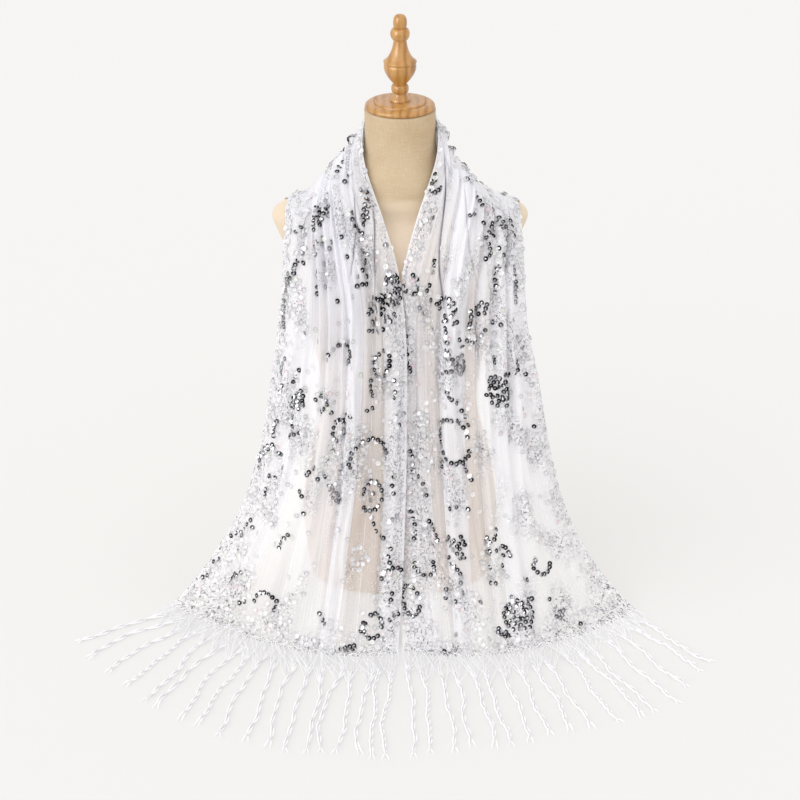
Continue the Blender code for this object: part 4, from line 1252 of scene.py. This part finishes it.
def makeFringe(sideName, rows, cadNode):
    # rows is the hem's row of the cloth and a row above it. Each tassel is two plies, the curve of its
    # middle line plus cos and sin of a turn that grows along it; yarns run to it from the hem.
    facts = fringe[sideName.lower()]
    count = facts["count"]
    draws = np.random.default_rng(fringe["seed"] + count).uniform(-1, 1, (count, 3))
    random = np.random.default_rng(fringe["seed"] * 3 + count)
    middles = (np.arange(count) + 0.5) / count
    tips = smoothRows(facts["tips"], middles * (len(facts["tips"]) - 1)) + draws[:, :2] * fringe["tipScatter"]
    roots = placeOnRow(rows[0], middles)[:, :2]
    line = tips - roots
    length = np.linalg.norm(line, axis=1, keepdims=True)
    way = line / length
    aside = np.stack([-way[:, 1], way[:, 0]], axis=1)

    # middle lines: straight from root to tip, with a bow, a long S and two small waves aside
    share = np.linspace(0, 1, fringe["steps"])[None, :, None]
    phase = random.uniform(0, 2 * np.pi, (count, 3, 1, 1))
    swing = random.uniform(0.3, 1.0, (count, 1, 1)) * fringe["wave"]
    waves = (swing * np.sin(2 * np.pi * 0.9 * share + phase[:, 2])
             + fringe["ripple"] * np.sin(2 * np.pi * 2.1 * share + phase[:, 0])
             + fringe["quiver"] * np.sin(2 * np.pi * 5 * share + phase[:, 1]))
    start = roots + way * fringe["gather"]
    centre = start[:, None] + (tips - start)[:, None] * share
    ends = np.minimum(share * 4, 1) * np.minimum((1 - share) * 5 + 0.3, 1)
    bow = draws[:, 2:, None] * fringe["bow"] * np.sin(np.pi * share)
    centre = centre + aside[:, None] * (bow + waves * ends)
    outwards = np.sign(roots[:, :1].mean())
    lead = fringe["lead"] * random.uniform(0.1, 1.0, (count, 1)) * np.minimum(np.abs(roots[:, :1]) / 0.06, 1)
    centre[..., 0] -= outwards * lead * (1 - share[..., 0]) ** 2.6
    distance = share[..., 0] * (length - fringe["gather"])

    # two plies wound loosely round each middle line, parting near the tip
    pitch = fringe["twistPitch"] * random.uniform(0.8, 1.7, (count, 1))
    lie = floorGap + 2.1 * fringe["plyRadius"]
    plies = []
    for ply in range(2):
        turn = 2 * np.pi * distance / pitch + np.pi * ply + phase[:, 0, :, 0]
        parted = easeIn(share[..., 0], 0.86, 1.0)
        reach = fringe["plyRadius"] * (1.5 + 2.0 * parted)
        sideways = reach * (np.cos(turn) * (1 - parted) + parted * (1 if ply else -1))
        rise = fringe["plyRadius"] * np.sin(turn) * (1 - parted)
        plies.append(np.concatenate([centre + aside[:, None] * sideways[..., None],
                                     (lie + rise)[..., None]], axis=2))
    paths = np.concatenate(plies)
    radii = np.full(paths.shape[:2], fringe["plyRadius"])
    radii *= 1 - 0.75 * easeIn(np.linspace(0, 1, fringe["steps"]), 0.93, 1.0)[None]
    points, faces = tubes(paths, radii, fringe["sides"])
    middle = np.concatenate([centre, np.full((*centre.shape[:2], 1), lie)], axis=2)
    apart = points.reshape(2, count, fringe["steps"], fringe["sides"], 3) - middle[None, :, :, None]
    # painted shade in the groove: darker the nearer a point lies to the tassel's middle line in plan
    groove = 1 - easeIn(np.linalg.norm(apart[..., :2], axis=-1), 0, fringe["plyRadius"])

    # yarns from just above the hem, down the cloth and out to the tassel, crossing their neighbours
    yarns, steps = fringe["yarns"], fringe["yarnSteps"]
    spread = ((np.arange(yarns) + 0.5) / yarns - 0.5)[None] * fringe["reach"]
    places = middles[:, None] + (spread + random.uniform(-0.12, 0.12, (count, yarns))) / count
    places = np.clip(places, 0.002, 0.998)
    hemPoints = placeOnRow(rows[0], places)
    aslant = np.clip(places + random.normal(0, 0.5, places.shape) / count, 0.002, 0.998)
    upperPoints = placeOnRow(rows[1], aslant)
    knot = hemPoints + (upperPoints - hemPoints) * random.uniform(0, 1, (count, yarns, 1))
    meet = centre[np.arange(count)[:, None], random.integers(2, 18, (count, yarns))]
    meet = np.concatenate([meet, np.full((count, yarns, 1), fringe["meetHeight"])], axis=2)[:, :, None]
    t = np.linspace(0, 1, steps)[None, None, :, None]
    downCloth = easeIn(t, 0.0, 0.3) * 0.3 + 0.7 * np.clip(t / 0.3, 0, 1)
    outward = np.clip((t - 0.3) / 0.7, 0, 1)
    outward = 0.7 * outward + 0.3 * easeIn(outward, 0, 1)
    path = knot[:, :, None] * (1 - downCloth) + hemPoints[:, :, None] * downCloth
    path = path * (1 - outward) + meet * outward
    low, high = fringe["yarnLift"]
    lift = low + high * np.sin(np.pi * outward) * random.uniform(0, 1, (count, yarns, 1, 1))
    path[..., 2:] += lift * (1 - 0.5 * outward)
    path[..., :2] += (aside[:, None, None] * fringe["yarnSwing"] * np.sin(2 * np.pi * outward)
                      * random.uniform(-1, 1, (count, yarns, 1, 1)))
    fine = path.reshape(count * yarns, steps, 3)
    yarnRadii = np.full(fine.shape[:2], fringe["yarnRadius"])
    finePoints, fineFaces = tubes(fine, yarnRadii, fringe["yarnSides"])
    # a grey at random on some fine yarns, carried with the groove's painted shade
    dull = np.repeat(0.7 * random.uniform(0, 1, count * yarns) ** 6, steps * fringe["yarnSides"])
    faces = np.concatenate([faces, fineFaces + len(points)])
    points = np.concatenate([points, finePoints])
    points[:, 2] = np.maximum(points[:, 2], floorGap)
    piece = putPiece("fringe" + sideName, points, faces, makeYarn("viscoseYarn" + sideName),
                     values={"groove": np.concatenate([groove.ravel(), dull])})
    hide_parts(cadNode)
    return piece


upperLeft = int(np.argmin(np.abs(along - (along[0] + fringe["above"]))))
upperRight = int(np.argmin(np.abs(along - (along[-1] - fringe["above"]))))
fringeLeft = makeFringe("Left", clothGrid[[0, upperLeft]], "fringe_left")
fringeRight = makeFringe("Right", clothGrid[[-1, upperRight]], "fringe_right")


studio = {
    "floor": "B7B6B5",
    "floorGlow": "F5F4F2",     # a lit sweep from below, so that little shadow shows
    "glow": 0.41,
    "air": "F9F9F8",
    "backdrop": "F5F4F2",
    "floorSize": 14,
    "lens": 95.67,
    "cameraPlace": (0, -2.9, 1.722),
    "cameraPitch": 26.2,       # degrees below the horizon
    "sky": 1.08,
    "sun": 0.80,
    "sunAngle": 60,            # a wide lamp, so soft shadows
    "sunTurn": (56, 0, -50),
    # what glossy things mirror: a grey room, dark in front and below, with one bright lamp
    "room": (0.85, 0.85, 0.87, 1),
    "front": (0.10, 0.10, 0.11, 1),
    "frontWay": (0.10, -0.90, -0.42),
    "lamp": (5, 5, 5, 1),
    "lampWay": (-0.72, -0.64, 0.26),
}


def makeWorld():
    # Even air for most rays, the backdrop for the camera's, and for glossy ones a room: its front and its
    # lamp come in where the cosine between the ray and their way is high.
    world = bpy.data.worlds.new("studio")
    world.use_nodes = True
    tree = world.node_tree
    tree.nodes.clear()
    look = node(tree, "TexCoord")
    front = node(tree, "VectorMath", {0: (look, "Generated"), 1: studio["frontWay"]}, operation="DOT_PRODUCT")
    dark = node(tree, "MapRange", {"Value": (front, "Value"), "From Min": 0.80, "From Max": 0.94,
                                   "To Max": 0.75})
    lamp = node(tree, "VectorMath", {0: (look, "Generated"), 1: studio["lampWay"]}, operation="DOT_PRODUCT")
    bright = node(tree, "MapRange", {"Value": (lamp, "Value"), "From Min": 0.90, "From Max": 0.96})
    room = node(tree, "MixRGB", {"Fac": (dark, "Result"), "Color1": studio["room"], "Color2": studio["front"]})
    mirror = node(tree, "MixRGB", {"Fac": (bright, "Result"), "Color1": (room, "Color"),
                                   "Color2": studio["lamp"]})
    ray = node(tree, "LightPath")
    even = node(tree, "Background", {"Color": studio["air"], "Strength": studio["sky"]})
    mirrored = node(tree, "Background", {"Color": (mirror, "Color"), "Strength": 1.0})
    seen = node(tree, "Background", {"Color": studio["backdrop"], "Strength": 1.0})
    first = node(tree, "MixShader", {0: (ray, "Is Glossy Ray"), 1: (even, 0), 2: (mirrored, 0)})
    second = node(tree, "MixShader", {0: (ray, "Is Camera Ray"), 1: (first, 0), 2: (seen, 0)})
    node(tree, "OutputWorld", {"Surface": (second, 0)})
    return world


def makeStudio():
    # A level floor, square round the origin; the camera at its place, pitched down; one wide sun.
    half = studio["floorSize"] / 2
    corners = [(-half, -half, 0), (half, -half, 0), (half, half, 0), (-half, half, 0)]
    look = {"Base Color": studio["floor"], "Roughness": 0.9, "Specular IOR Level": 0.0,
            "Emission Color": studio["floorGlow"], "Emission Strength": studio["glow"]}
    mesh = bpy.data.meshes.new("floor")
    mesh.from_pydata(corners, [], [(0, 1, 2, 3)])
    mesh.materials.append(newMaterial("studioFloor", look)[0])
    floor = addObject("floor", mesh)
    floor.visible_glossy = False

    camera = addObject("camera", bpy.data.cameras.new("camera"))
    camera.data.lens = studio["lens"]
    camera.data.sensor_width = 36
    camera.location = studio["cameraPlace"]
    camera.rotation_euler = (math.radians(90 - studio["cameraPitch"]), 0, 0)

    sun = bpy.data.lights.new("softKey", "SUN")
    sun.energy = studio["sun"]
    sun.angle = math.radians(studio["sunAngle"])
    addObject("softKey", sun).rotation_euler = [math.radians(turn) for turn in studio["sunTurn"]]

    scene = bpy.context.scene
    scene.camera = camera
    scene.world = makeWorld()
    scene.view_settings.view_transform = "Standard"
    print(f"studio: floor {studio['floorSize']} m wide, camera at {studio['cameraPlace']}")


makeStudio()
